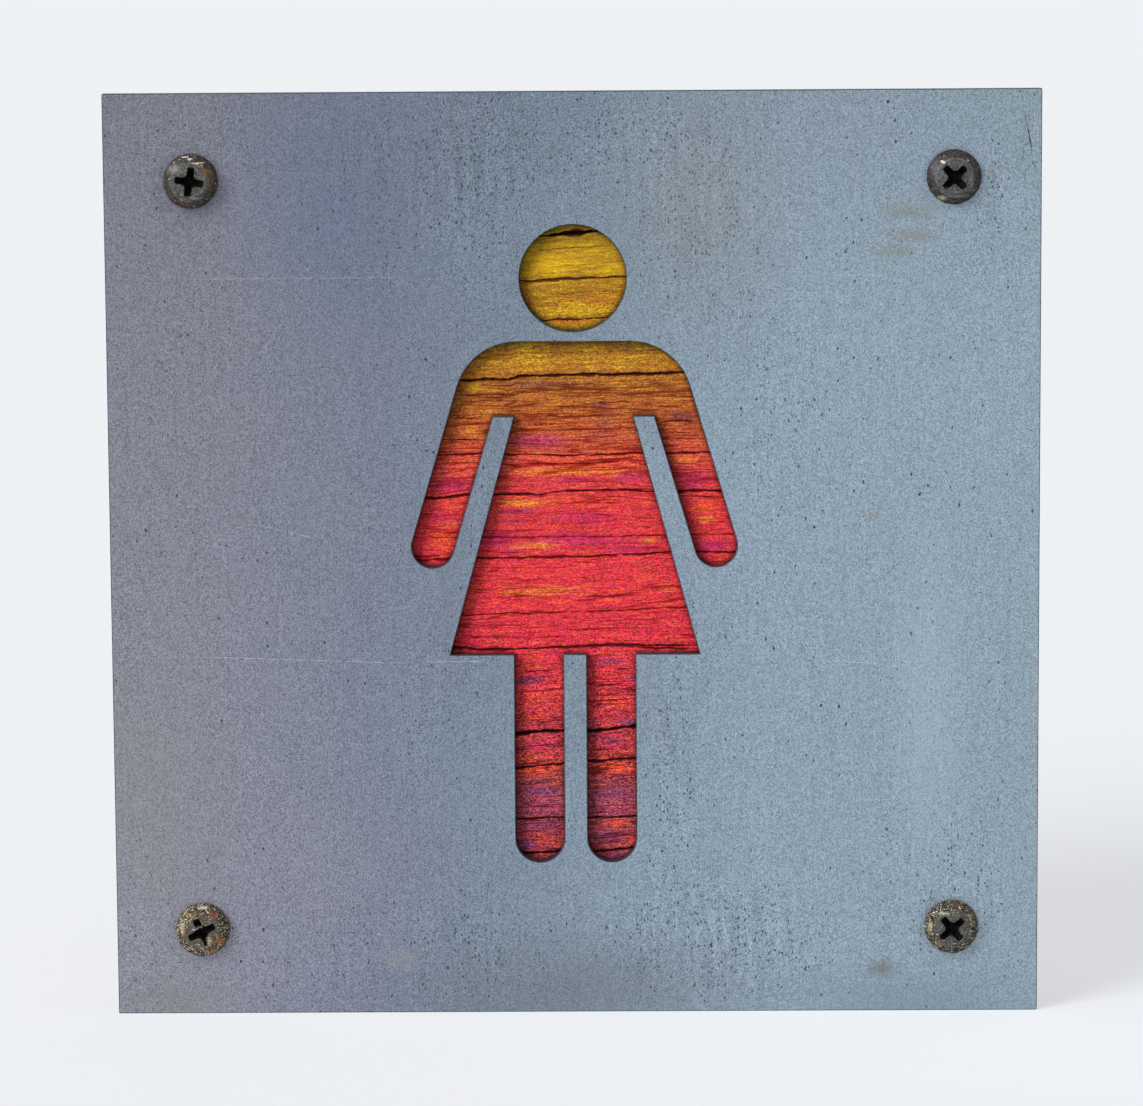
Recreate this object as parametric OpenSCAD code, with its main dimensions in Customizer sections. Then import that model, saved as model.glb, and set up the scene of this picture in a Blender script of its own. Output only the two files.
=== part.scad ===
// Restroom sign: a square steel plate with a standing figure in a skirt cut through it,
// a weathered board that shows through the figure, and four pan-head wood screws that
// go through both into the wall. Sizes are in millimetres.
// The front faces -Y, up is +Z, and the wall is the plane Y = 0.

/* [Face plate] */
// Width and height of the square plate
plate_w = 150; // [136:1:220]
// Thickness of the plate
plate_t = 2; // [1.5:0.1:4]
// Radius of the plate's four corners
plate_corner_r = 0.2; // [0.2:0.1:6]

/* [Figure: head and shoulders] */
// Height of the shoulder line above the plate's centre
shoulder_z = 34.9; // [30:0.1:38]
// Radius of the round head
head_r = 8.6; // [6:0.1:10]
// Strip of steel between the head and the shoulder line
neck_gap = 1.6; // [1:0.1:4]
// Radius of the arc that rounds each shoulder
shoulder_r = 10; // [6:0.5:11]

/* [Figure: arms] */
// Slope of the arms away from upright, in degrees
arm_angle = 16.6; // [13:0.1:20]
// Width of an arm
arm_w = 6.85; // [5:0.05:9]
// Drop from the shoulder line to the centre of the round hand
hand_drop = 33.15; // [26:0.05:40]
// Drop from the shoulder line to the top of the slit beside the body
slit_drop = 12.05; // [11:0.05:15]
// Width of the steel strip between arm and body, at its top
slit_w = 3.45; // [2.5:0.05:5]

/* [Figure: skirt and legs] */
// Width of the body between the two slits, at their tops
waist_w = 19.1; // [15:0.1:22]
// Width of the skirt's hem
hem_w = 40.4; // [36:0.1:44]
// Drop from the shoulder line to the hem
hem_drop = 50.8; // [46:0.1:56]
// Width of a leg
leg_w = 7.95; // [5:0.05:9]
// Width of the steel strip between the legs
leg_gap = 3.75; // [2.5:0.05:5]
// Length of a leg from the hem to the foot's lowest point
leg_len = 34.2; // [28:0.1:38]

/* [Backing board] */
// Thickness of the board
board_t = 18; // [12:1:30]
// Distance from the plate's edge in to the board's edge
board_inset = 5; // [3:0.5:8]
// Radius that eases the board's top and bottom edges
board_edge_r = 1.5; // [0.5:0.1:4]
// Mouth width of a drying check in the board's front
check_w = 0.7; // [0.4:0.1:1.2]
// Depth of a drying check
check_depth = 2.5; // [1:0.1:5]

/* [Screws] */
// Distance from the plate's edges in to a screw's centre
screw_inset = 14; // [12:0.5:20]
// Length of a screw under its head
screw_len = 40; // [36:1:60]
// Radius of the smooth shank under the head
shank_r = 1.65; // [1.4:0.05:1.75]
// Radius over the thread
thread_r = 2.25; // [1.75:0.25:2.5]
// Length of the thread, its point included
thread_len = 20; // [16:1:24]
// Length over which the thread rises from the smooth shank
thread_rise = 0.8; // [0.4:0.1:2]
// Length of the tapered point
point_len = 6; // [4:0.5:9]
// Radius of the point's blunt end
point_end_r = 0.15; // [0.1:0.05:0.4]
// Radius of the pan head
pan_r = 4.4; // [4:0.1:5.5]
// Height of the pan head
pan_h = 2.9; // [2.6:0.1:3.6]
// Radius that rounds the pan head's rim
pan_rim_r = 1.8; // [1:0.1:2]
// Radius of the pan head's slightly crowned top
pan_crown_r = 14; // [10:1:30]
// Clearance round the thread as it passes the plate's and the board's holes
hole_clearance = 0.25; // [0.1:0.05:0.5]

/* [Cross recess] */
// Radius from the screw's centre to a wing's tip, at the recess's mouth
wing_r = 2.4; // [2:0.1:2.6]
// Width of a wing
wing_w = 1.2; // [0.8:0.05:1.3]
// Depth of the recess
recess_depth = 2.1; // [1.4:0.1:2.2]
// Radius of the recess's floor, which its wings taper down to
recess_floor_r = 0.9; // [0.7:0.1:1.2]
// Turn of the top left screw's recess, in degrees, seen from the front
turn_top_left = -9; // [-45:1:45]
// Turn of the top right screw's recess
turn_top_right = 44; // [-45:1:45]
// Turn of the bottom left screw's recess
turn_bottom_left = 26; // [-45:1:45]
// Turn of the bottom right screw's recess
turn_bottom_right = 40; // [-45:1:45]

/* [Hidden] */

$fn = 96;

// How far a cutter runs past the face that it opens
past = 1;

// Depth positions: the board's back lies on the wall and the plate lies on its front
board_front_y = -board_t;
plate_front_y = board_front_y - plate_t;

// Board and screw places, all taken from the plate's edges
board_w = plate_w - 2 * board_inset;
screw_x = plate_w / 2 - screw_inset;
hole_r = thread_r + hole_clearance;

// Height inside the head at which the shank's own section ends
shank_root = (pan_h - recess_depth) / 2;

// Heights of the figure's main lines, in the plate's own plane
head_z = shoulder_z + neck_gap + head_r;
slit_z = shoulder_z - slit_drop;
hand_z = shoulder_z - hand_drop;
hem_z = shoulder_z - hem_drop;
foot_z = hem_z - leg_len + leg_w / 2;

// An arm runs between two parallel lines. Along the direction square to them, the inner line
// passes the slit's top corner and the outer line lies one arm's width further out
arm_out = [cos(arm_angle), sin(arm_angle)];
slit_corner = [waist_w / 2 + slit_w, slit_z];
inner_line = arm_out * slit_corner;
outer_line = inner_line + arm_w;

// Point at height z on a line square to arm_out, at the given distance along it
function on_line(distance, z) = [(distance - arm_out[1] * z) / arm_out[0], z];

// Centres of the shoulder's arc and of the round hand, on the right side
shoulder_centre_z = shoulder_z - shoulder_r;
shoulder_centre = on_line(outer_line - shoulder_r, shoulder_centre_z);
hand_centre = on_line(inner_line + arm_w / 2, hand_z);

// Legs, on the right side
leg_inner_x = leg_gap / 2;
leg_centre_x = leg_inner_x + leg_w / 2;
leg_outer_x = leg_inner_x + leg_w;

// Outline of the right half of the body from the shoulder line round to the middle between
// the legs. The shoulder, the hand and the foot get their arcs from circles
right_half = [
    [shoulder_centre[0], shoulder_z],
    shoulder_centre + shoulder_r * arm_out,
    hand_centre + arm_w / 2 * arm_out,
    hand_centre - arm_w / 2 * arm_out,
    slit_corner,
    [waist_w / 2, slit_z],
    [hem_w / 2, hem_z],
    [leg_outer_x, hem_z],
    [leg_outer_x, foot_z],
    [leg_inner_x, foot_z],
    [leg_inner_x, hem_z]
];
left_half = [for (i = [len(right_half) - 1 : -1 : 0]) [-right_half[i][0], right_half[i][1]]];

// Heights at the board's middle of the drying checks that split its front from end to end,
// each with its slope in degrees
drying_checks = [
    [52.6, 0.6],
    [44.7, 1.6],
    [38.3, 0.9],
    [29.3, 0.9],
    [16.0, 1.2],
    [10.8, 0.4],
    [0.3, 0.8],
    [-8.9, 0.6],
    [-14.9, 0.2],
    [-28.4, 0.9],
    [-33.5, 1.2],
    [-42.5, 0.7]
];

// Rectangle about the origin with true arcs at its corners
module rounded_rect(w, h, r) {
    square([w - 2 * r, h], center = true);
    square([w, h - 2 * r], center = true);
    for (x = [-1, 1], y = [-1, 1]) {
        translate([x * (w / 2 - r), y * (h / 2 - r)]) circle(r);
    }
}

// Places its children at the four screw centres, in the plate's plane
module at_screws() {
    for (x = [-1, 1], z = [-1, 1]) {
        translate([x * screw_x, z * screw_x]) children();
    }
}

// Stands a shape drawn in the plate's plane upright, at depth y, facing the front
module facing_front(y) {
    translate([0, y, 0]) rotate([90, 0, 0]) children();
}

module figure_head() {
    translate([0, head_z]) circle(head_r);
}

module figure_body() {
    polygon(concat(right_half, left_half));
    for (flip = [0, 1]) mirror([flip, 0]) {
        // The shoulder's circle, kept clear of the slit below it
        intersection() {
            translate(shoulder_centre) circle(shoulder_r);
            translate([0, slit_z]) square([plate_w, slit_drop]);
        }
        translate(hand_centre) circle(arm_w / 2);
        translate([leg_centre_x, foot_z]) circle(leg_w / 2);
    }
}

// Steel plate with the figure and four screw holes cut through it
module face_plate() {
    color("slategray")
    facing_front(board_front_y)
    linear_extrude(plate_t)
    difference() {
        rounded_rect(plate_w, plate_w, plate_corner_r);
        figure_head();
        figure_body();
        at_screws() circle(hole_r);
    }
}

// One long V-shaped split in the board's front
module drying_check(z, slope) {
    reach = board_w / 2 + past;
    translate([0, board_front_y, z])
    rotate([0, -slope, 0])
    translate([-reach, 0, 0])
    rotate([90, 0, 90])
    linear_extrude(2 * reach)
    polygon([[-past, -check_w / 2], [0, -check_w / 2], [check_depth, 0], [0, check_w / 2], [-past, check_w / 2]]);
}

// Weathered board with its grain across the sign
module backing_board() {
    color("firebrick")
    difference() {
        translate([-board_w / 2, -board_t / 2, 0])
        rotate([90, 0, 90])
        linear_extrude(board_w)
        rounded_rect(board_t, board_w, board_edge_r);

        facing_front(past)
        at_screws() cylinder(r = hole_r, h = board_t + 2 * past);

        for (check = drying_checks) drying_check(check[0], check[1]);
    }
}

// Half section of the pan head: flat underside, rounded rim and slightly crowned top
module pan_section() {
    intersection() {
        union() {
            square([pan_r - pan_rim_r, pan_h]);
            square([pan_r, pan_h - pan_rim_r]);
            translate([pan_r - pan_rim_r, pan_h - pan_rim_r]) circle(pan_rim_r);
        }
        translate([0, pan_h - pan_crown_r]) circle(pan_crown_r);
        square([pan_r, pan_h]);
    }
}

// Half section of the shank, the thread's envelope and the point, with its top inside the head
module shank_section() {
    thread_top = thread_len - screw_len;
    polygon([
        [0, shank_root],
        [shank_r, shank_root],
        [shank_r, thread_top + thread_rise],
        [thread_r, thread_top],
        [thread_r, point_len - screw_len],
        [point_end_r, -screw_len],
        [0, -screw_len]
    ]);
}

// Four wings that narrow towards the recess's floor, cut from above the head's crown
module cross_recess() {
    above_r = wing_r + past * (wing_r - recess_floor_r) / recess_depth;
    depth = recess_depth + past;
    translate([0, 0, pan_h - recess_depth])
    intersection() {
        cylinder(r1 = recess_floor_r, r2 = above_r, h = depth);
        for (a = [0, 90]) rotate(a) {
            translate([-above_r, -wing_w / 2, 0]) cube([2 * above_r, wing_w, depth]);
        }
    }
}

// Wood screw on the Z axis with its head's underside at the origin
module wood_screw(turn) {
    difference() {
        union() {
            rotate_extrude() pan_section();
            rotate_extrude() shank_section();
        }
        rotate(turn) cross_recess();
    }
}

// Screw in its hole, on the left or right (-1 or 1) and at the bottom or top (-1 or 1)
module placed_screw(side, level, turn) {
    color("dimgray")
    facing_front(plate_front_y)
    translate([side * screw_x, level * screw_x, 0])
    wood_screw(turn);
}

module screw_top_left() placed_screw(-1, 1, turn_top_left);
module screw_top_right() placed_screw(1, 1, turn_top_right);
module screw_bottom_left() placed_screw(-1, -1, turn_bottom_left);
module screw_bottom_right() placed_screw(1, -1, turn_bottom_right);

face_plate();
backing_board();
screw_top_left();
screw_top_right();
screw_bottom_left();
screw_bottom_right();
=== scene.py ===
# Restroom sign: a square steel plate with a skirted figure cut through it, held by four wood
# screws over a weathered, stained board. Metres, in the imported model's own frame.
from math import atan2, cos, exp, pi, radians, sin, sqrt, tan

import bpy
from mathutils import Matrix, Vector, noise
from mathutils.bvhtree import BVHTree


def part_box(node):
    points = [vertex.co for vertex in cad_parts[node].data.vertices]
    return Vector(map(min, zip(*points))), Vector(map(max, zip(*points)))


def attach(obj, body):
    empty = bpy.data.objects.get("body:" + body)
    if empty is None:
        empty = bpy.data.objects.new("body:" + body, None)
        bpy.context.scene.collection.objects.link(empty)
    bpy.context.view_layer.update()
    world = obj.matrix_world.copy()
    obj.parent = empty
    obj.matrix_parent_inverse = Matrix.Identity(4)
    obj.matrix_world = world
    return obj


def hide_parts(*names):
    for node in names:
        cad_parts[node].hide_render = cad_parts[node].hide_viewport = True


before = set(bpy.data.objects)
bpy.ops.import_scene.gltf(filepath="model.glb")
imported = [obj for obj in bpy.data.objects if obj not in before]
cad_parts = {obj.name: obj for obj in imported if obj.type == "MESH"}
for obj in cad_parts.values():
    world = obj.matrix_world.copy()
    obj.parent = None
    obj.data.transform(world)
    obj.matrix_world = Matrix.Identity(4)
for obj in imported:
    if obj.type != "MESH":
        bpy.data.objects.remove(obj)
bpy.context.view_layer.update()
mm = 0.001
hair = 1e-6     # m, places nearer than this count as one
scene = bpy.context.scene
plateLow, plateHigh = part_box("face_plate")
boardLow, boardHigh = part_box("backing_board")
screwLow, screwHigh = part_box("screw_top_right")
print("frame loaded")


def linear(hexColour):
    # sRGB hex to the linear colour that the shaders work in
    parts = [int(hexColour[i:i + 2], 16) / 255 for i in (1, 3, 5)]
    return [p / 12.92 if p <= 0.04045 else ((p + 0.055) / 1.055) ** 2.4 for p in parts] + [1.0]


def addNode(tree, kind, links=None, stops=None, **settings):
    # adds a shader node, sets it up and feeds its live sockets, by number or by name; hex colours
    # in its links and stops are turned to linear ones
    new = tree.nodes.new("ShaderNode" + kind)
    for name, value in settings.items():
        setattr(new, name, value)
    if stops:
        ramp = new.color_ramp.elements
        ramp[0].position, ramp[-1].position = stops[0][0], stops[-1][0]
        ramp[0].color, ramp[-1].color = linear(stops[0][1]), linear(stops[-1][1])
        for place, colour in stops[1:-1]:
            ramp.new(place).color = linear(colour)
    live = [socket for socket in new.inputs if socket.enabled]
    for key, value in (links or {}).items():
        socket = live[key] if isinstance(key, int) else new.inputs[key]
        if isinstance(value, bpy.types.Node):
            value = next(out for out in value.outputs if out.enabled)
        if isinstance(value, bpy.types.NodeSocket):
            tree.links.new(value, socket)
        else:
            socket.default_value = linear(value) if isinstance(value, str) else value
    return new


def reachFrom(tree, place, centre, size):
    # distance from a spot's centre in parts of its half sizes, which like the centre are x and z in mm
    off = addNode(tree, "VectorMath", {0: place, 1: (-centre[0] * mm, 0, -centre[1] * mm)},
                  operation="ADD")
    parts = addNode(tree, "VectorMath", {0: off, 1: (1 / (size[0] * mm), 0, 1 / (size[1] * mm))},
                    operation="MULTIPLY")
    return addNode(tree, "VectorMath", {0: parts}, operation="LENGTH").outputs["Value"]


def newMaterial(name):
    material = bpy.data.materials.new(name)
    material.use_nodes = True
    return material, material.node_tree, material.node_tree.nodes["Principled BSDF"]


def only(obj):
    # the one selected and active object, in object mode
    bpy.ops.object.select_all(action="DESELECT")
    obj.select_set(True)
    bpy.context.view_layer.objects.active = obj


def settle(obj, smoothAngle):
    # places the mesh for good, with outward faces and smooth shading below the given angle
    only(obj)
    bpy.ops.object.transform_apply(location=True, rotation=True, scale=True)
    bpy.ops.object.mode_set(mode="EDIT")
    bpy.ops.mesh.select_all(action="SELECT")
    bpy.ops.mesh.normals_make_consistent(inside=False)
    bpy.ops.object.mode_set(mode="OBJECT")
    bpy.ops.object.shade_smooth_by_angle(angle=radians(smoothAngle))


def applyModifier(obj, kind, **settings):
    only(obj)
    modifier = obj.modifiers.new(kind.lower(), kind)
    for name, value in settings.items():
        setattr(modifier, name, value)
    bpy.ops.object.modifier_apply(modifier=modifier.name)


# Camera, as the photograph was taken: a long lens a little above the sign
viewpoint = dict(
    tilt=7.879, turn=0.628, roll=-0.383,        # degrees: down, to the left and about the view
    away=808.414, aside=-0.478, above=0.671,    # mm from the plate's centre, along the camera's axes
    focal=157.74, sensorWidth=36.0,             # mm
)


def placeCamera():
    tilt, turn, roll = (radians(viewpoint[name]) for name in ("tilt", "turn", "roll"))
    axes = Matrix.Rotation(turn, 3, "Z") @ Matrix.Rotation(pi / 2 - tilt, 3, "X")
    axes = axes @ Matrix.Rotation(roll, 3, "Z")
    offset = Vector([viewpoint[name] for name in ("aside", "above", "away")]) * mm
    lens = bpy.data.cameras.new("camera")
    lens.lens = viewpoint["focal"]
    lens.sensor_width = viewpoint["sensorWidth"]
    lens.sensor_fit = "HORIZONTAL"
    lens.clip_end = 100
    camera = bpy.data.objects.new("camera", lens)
    scene.collection.objects.link(camera)
    camera.matrix_world = Matrix.Translation(Vector((0, plateLow.y, 0)) + axes @ offset) @ axes.to_4x4()
    scene.camera = camera


# Studio: one broad key from the upper left in front, an even white surround and a pale floor
studio = dict(
    keyFrom=(-1.05, -1.0, 0.8),     # direction towards the key
    keyStrength=3.0, keySpread=32,  # W/m2, degrees across
    fill=0.42,                      # strength of the surround on matt surfaces
    floorWidth=60, floorTone="#eff2f6",
    floorGlow=0.6,                  # share of the floor's own white in the camera's view
)


def lightStudio():
    lamp = bpy.data.lights.new("key", "SUN")
    lamp.energy = studio["keyStrength"]
    lamp.angle = radians(studio["keySpread"])
    key = bpy.data.objects.new("key", lamp)
    key.rotation_euler = Vector(studio["keyFrom"]).to_track_quat("Z", "Y").to_euler()
    scene.collection.objects.link(key)
    scene.world = bpy.data.worlds.new("surround")
    scene.world.use_nodes = True
    tree = scene.world.node_tree
    path = addNode(tree, "LightPath")
    mirrored = addNode(tree, "Math", {0: path.outputs["Is Glossy Ray"],
                                      1: path.outputs["Is Transmission Ray"]}, operation="MAXIMUM")
    seen = addNode(tree, "Math", {0: path.outputs["Is Camera Ray"], 1: mirrored}, operation="MAXIMUM")
    strength = addNode(tree, "MapRange", {0: seen, "To Min": studio["fill"], "To Max": 1.0})
    tree.links.new(strength.outputs[0], tree.nodes["Background"].inputs["Strength"])
    tree.nodes["Background"].inputs["Color"].default_value = linear("#ffffff")


def layFloor():
    bpy.ops.object.select_all(action="DESELECT")
    bpy.ops.mesh.primitive_plane_add(size=studio["floorWidth"], location=(0, 0, plateLow.z))
    floor = bpy.context.object
    floor.name = "floor"
    # pale matt paint, which gives the eye the white ground of the photograph with the sign's soft shadow
    material, tree, shader = newMaterial("matt_floor_paint")
    shader.inputs["Base Color"].default_value = linear(studio["floorTone"])
    shader.inputs["Roughness"].default_value = 0.9
    shader.inputs["Specular IOR Level"].default_value = 0.1
    path = addNode(tree, "LightPath")
    share = addNode(tree, "Math", {0: path.outputs["Is Camera Ray"], 1: studio["floorGlow"]},
                    operation="MULTIPLY")
    glow = addNode(tree, "Emission", {0: "#f6f8fb", 1: 1.0})
    both = addNode(tree, "MixShader", {0: share, 1: shader.outputs[0], 2: glow.outputs[0]})
    tree.links.new(both.outputs[0], tree.nodes["Material Output"].inputs["Surface"])
    floor.data.materials.append(material)


placeCamera()
lightStudio()
layFloor()
print("camera, light and floor placed")


# Face plate: the cut steel itself, with its edges just broken
plate = dict(
    flatWithin=0.5, sharpAngle=40,      # degrees, below which faces are one and from which an edge is broken
    faceOn=0.999, smoothAngle=20,       # the big faces' normals along y at least, and degrees
    edgeBreak=0.08, breakSteps=2,       # mm
    burrWidth=0.18,                     # mm, the dark line that the cutter left along every edge
    cloudSize=26, patchSize=14,         # mm, the clouds of the patina and the patches of thicker pits
    columnWidth=3.5, columnHeight=26,   # mm, the soft upright columns of wear
    bandWidth=1.4, bandHeight=14,       # mm, the darker bands in them
    brushWidth=0.32, brushDepth=20, brushLength=9.0,    # mm
    grain=0.12, grainHeight=1.5,        # mm across and how much taller: a mill finish's grain is finer, but
                                        # this is as fine as the view can show
    pitSpacing=1.3, pitHeight=1.5,      # mm between pits, and how much taller than wide they are
    pitRag=0.5, markRag=1.1,            # mm, the waves of the ragged rims of pits and of marks
    fleckWidth=0.55, fleckHeight=0.85,  # mm between the fine flecks
    nickSpacing=2.6,                    # mm between the bright nicks
    smoothest=0.42, roughest=0.6,       # roughness of the single grains
)
# Scratches, and a crease near the top right corner drawn as dark lines of painted shade: start and end in mm,
# half width in mm, strength, colour
scratches = [
    ((-64.0, 45.3), (-26.0, 45.4), 0.08, 0.34, "#cfd3d8"),
    ((42.0, 45.3), (50.0, 45.3), 0.09, 0.4, "#cfd3d8"),
    ((-60.5, -16.0), (-27.5, -17.2), 0.09, 0.6, "#cfd3d8"),
    ((-24.5, -17.0), (-14.5, -17.0), 0.10, 0.6, "#cfd3d8"),
    ((39.5, -17.1), (49.5, -17.6), 0.10, 0.6, "#cfd3d8"),
    ((-51.5, 5.6), (-41.5, 3.2), 0.09, 0.5, "#cfd3d8"),
    # a crease near the top right corner: its darkness is painted shade of the fold
    ((71.6, 74.6), (73.2, 65.9), 0.12, 0.7, "#39434a"),
    ((73.1, 66.4), (74.8, 57.0), 0.12, 0.6, "#39434a"),
    ((72.8, 68.6), (73.3, 65.4), 0.16, 1.0, "#232b31"),
]
# Soft marks on the face, the last four partly painted shadow round the screw heads: centre in mm, half sizes
# in mm, colour, strength
smudges = [
    ((20.0, 57.0), (17.0, 24.0), "#84847c", 0.3),
    ((-38.0, 56.0), (19.0, 26.0), "#5a7088", 0.3),
    ((-70.0, -42.0), (15.0, 34.0), "#8c8a80", 0.25),
    ((57.0, -24.0), (7.0, 34.0), "#b6c4ce", 0.24),
    ((0.0, -72.0), (40.0, 12.0), "#6c6c6a", 0.4),
    ((-66.0, -73.0), (14.0, 5.0), "#86857f", 0.35),
    ((54.0, -74.0), (26.0, 8.0), "#78868f", 0.45),
    ((-20.0, 10.0), (3.0, 70.0), "#767e8e", 0.25),
    ((53.1, 55.6), (5.6, 1.7), "#7d8274", 0.5),
    ((54.7, 51.7), (4.9, 1.4), "#8c8078", 0.55),
    ((51.6, 49.1), (4.4, 1.6), "#7e8676", 0.5),
    ((49.6, -68.0), (3.2, 1.9), "#6f6a55", 0.6),
    ((-29.0, -66.0), (4.5, 2.6), "#9a9a90", 0.35),
    ((-54.0, 7.0), (2.0, 1.0), "#7c776e", 0.45),
    ((-32.5, 6.6), (1.6, 0.9), "#7c776e", 0.4),
    ((48.0, 6.4), (1.8, 0.9), "#8a867a", 0.4),
    ((50.4, -44.9), (0.42, 0.36), "#15181c", 1.0),
    # the last four: a faint stain round each screw head, and painted shadow of the head
    ((-60.6, 60.0), (7.0, 6.6), "#50535f", 0.6),
    ((61.4, 60.4), (6.4, 6.0), "#66727e", 0.25),
    ((-60.6, -61.8), (6.4, 6.0), "#61636c", 0.35),
    ((61.4, -61.8), (6.6, 6.2), "#66706f", 0.35),
]
# Where the fine flecks crowd: centre in mm, half sizes in mm, how much
fleckFields = [
    ((-16.0, 60.0), (10.0, 20.0), 0.7), ((20.0, 56.0), (12.0, 20.0), 0.8), ((0.0, 66.0), (40.0, 10.0), 0.4),
    ((-33.0, 58.0), (12.0, 18.0), 0.35), ((16.0, -36.0), (5.5, 24.0), 0.62),
    ((22.0, -63.0), (20.0, 11.0), 1.3), ((-20.0, -64.0), (22.0, 12.0), 0.5),
    ((34.0, 18.0), (8.0, 22.0), 0.3), ((-60.0, 66.0), (12.0, 8.0), 0.3), ((68.0, 60.0), (7.0, 16.0), 0.4),
    ((-21.0, -25.0), (7.0, 20.0), 0.35), ((-70.0, -60.0), (6.0, 16.0), 0.4),
    ((60.0, -56.0), (16.0, 20.0), 0.35),
]


def millSteel():
    # cold-rolled steel with a mill finish: satin, blue-grey, finely brushed upright, with dark pits;
    # the eye reads it as a soft metal sheet that turns from mauve to teal, partly by its own tint and partly
    # by painted reflection
    material, tree, shader = newMaterial("plate_mill_steel")
    place = addNode(tree, "TexCoord").outputs["Object"]
    x, y, z = addNode(tree, "SeparateXYZ", {0: place}).outputs
    # patina and painted reflection: mauve to teal across the sheet, partly the steel's own tint and partly
    # painted reflection; the tones below are painted reflection, darker up its left side and towards the top
    # on its right
    across = addNode(tree, "MapRange", {0: x, 1: plateLow.x, 2: plateHigh.x})
    cloud = addNode(tree, "TexNoise", {"Vector": place, "Scale": 1 / (plate["cloudSize"] * mm),
                                       "Detail": 3.0})
    cloudShift = addNode(tree, "MapRange", {0: cloud.outputs[0], 1: 0.3, 2: 0.7, 3: -0.05, 4: 0.05})
    across = addNode(tree, "Math", {0: across, 1: cloudShift}, operation="ADD")
    tint = addNode(tree, "ValToRGB", {0: across}, stops=[
        (0.0, "#878791"), (0.14, "#848590"), (0.27, "#7a8090"), (0.40, "#788693"), (0.60, "#8798a5"),
        (0.72, "#8e9fac"), (1.0, "#8d9fa9")])
    leftPaintedReflection = addNode(tree, "MapRange", {0: z, 1: -60 * mm, 2: 72 * mm, 3: 1.14, 4: 0.72})
    rightPaintedReflection = addNode(tree, "MapRange", {0: z, 1: 35 * mm, 2: 75 * mm, 3: 1.1, 4: 0.93})
    tone = addNode(tree, "Mix", {0: across, 1: leftPaintedReflection, 2: rightPaintedReflection})
    # how worn the skin is: more in some fields of the sheet and in soft upright columns
    columnPlace = addNode(tree, "Mapping", {0: place, "Scale": (
        1 / (plate["columnWidth"] * mm), 0.0, 1 / (plate["columnHeight"] * mm))})
    column = addNode(tree, "TexNoise", {"Vector": columnPlace, "Scale": 1.0, "Detail": 4.0,
                                        "Roughness": 0.65})
    crowd = addNode(tree, "MapRange", {0: column.outputs[0], 1: 0.35, 2: 0.7, 3: 0.0, 4: 0.3})
    for centre, size, amount in fleckFields:
        far = reachFrom(tree, place, centre, size)
        field = addNode(tree, "MapRange", {0: far, 1: 1.2, 2: 0.2, 3: 0.0, 4: amount},
                        interpolation_type="SMOOTHSTEP")
        crowd = addNode(tree, "Math", {0: crowd, 1: field}, operation="ADD")
    streaky = addNode(tree, "MapRange", {0: column.outputs[0], 1: 0.3, 2: 0.65, 3: 0.45, 4: 1.4})
    crowd = addNode(tree, "Math", {0: crowd, 1: streaky}, operation="MULTIPLY")
    # brushing in long upright streaks, and the crisp grain of the rolled skin
    streakPlace = addNode(tree, "Mapping", {0: place, "Scale": (
        1 / (plate["brushWidth"] * mm), 1 / (plate["brushDepth"] * mm), 1 / (plate["brushLength"] * mm))})
    streak = addNode(tree, "TexNoise", {"Vector": streakPlace, "Scale": 1.0, "Detail": 3.0,
                                        "Roughness": 0.6})
    streakTone = addNode(tree, "MapRange", {0: streak.outputs[0], 1: 0.25, 2: 0.75, 3: 0.92, 4: 1.08})
    grainPlace = addNode(tree, "Mapping", {0: place, "Scale": (
        1 / (plate["grain"] * mm), 0.0, 1 / (plate["grain"] * plate["grainHeight"] * mm))})
    grain = addNode(tree, "TexVoronoi", {"Vector": grainPlace, "Scale": 1.0, "Randomness": 1.0})
    grainParts = addNode(tree, "SeparateColor", {0: grain.outputs["Color"]}).outputs
    contrast = addNode(tree, "MapRange", {0: across, 3: 1.1, 4: 0.88})
    darkest = addNode(tree, "MapRange", {0: crowd, 3: -0.46, 4: -0.6})
    darkest = addNode(tree, "Math", {0: darkest, 1: contrast, 2: 1.0}, operation="MULTIPLY_ADD")
    lightest = addNode(tree, "MapRange", {0: crowd, 3: 0.42, 4: 0.58})
    lightest = addNode(tree, "Math", {0: lightest, 1: contrast, 2: 1.0}, operation="MULTIPLY_ADD")
    grainTone = addNode(tree, "MapRange", {0: grainParts[0], 3: darkest, 4: lightest})
    # darker bands, upright too, where the skin is most worn
    bandPlace = addNode(tree, "Mapping", {0: place, "Location": (3.3, 0, 1.7), "Scale": (
        1 / (plate["bandWidth"] * mm), 0.0, 1 / (plate["bandHeight"] * mm))})
    band = addNode(tree, "TexNoise", {"Vector": bandPlace, "Scale": 1.0, "Detail": 3.0, "Roughness": 0.6})
    bandTone = addNode(tree, "MapRange", {0: band.outputs[0], 1: 0.3, 2: 0.7, 3: 0.15, 4: -0.17})
    bandTone = addNode(tree, "Math", {0: bandTone, 1: crowd, 2: 1.0}, operation="MULTIPLY_ADD")
    # every tone on the tint, and a little of each grain's own hue
    tone = addNode(tree, "Math", {0: tone.outputs[0], 1: bandTone}, operation="MULTIPLY")
    tone = addNode(tree, "Math", {0: tone, 1: streakTone}, operation="MULTIPLY")
    tone = addNode(tree, "Math", {0: tone, 1: grainTone}, operation="MULTIPLY")
    base = addNode(tree, "VectorMath", {0: tint, "Scale": tone}, operation="SCALE")
    grainHue = addNode(tree, "Mix", {0: grainParts[1], 1: "#7f93a0", 2: "#8f86a0"}, data_type="RGBA")
    base = addNode(tree, "Mix", {0: 0.14, 1: base, 2: grainHue.outputs[2]}, data_type="RGBA")
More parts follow.
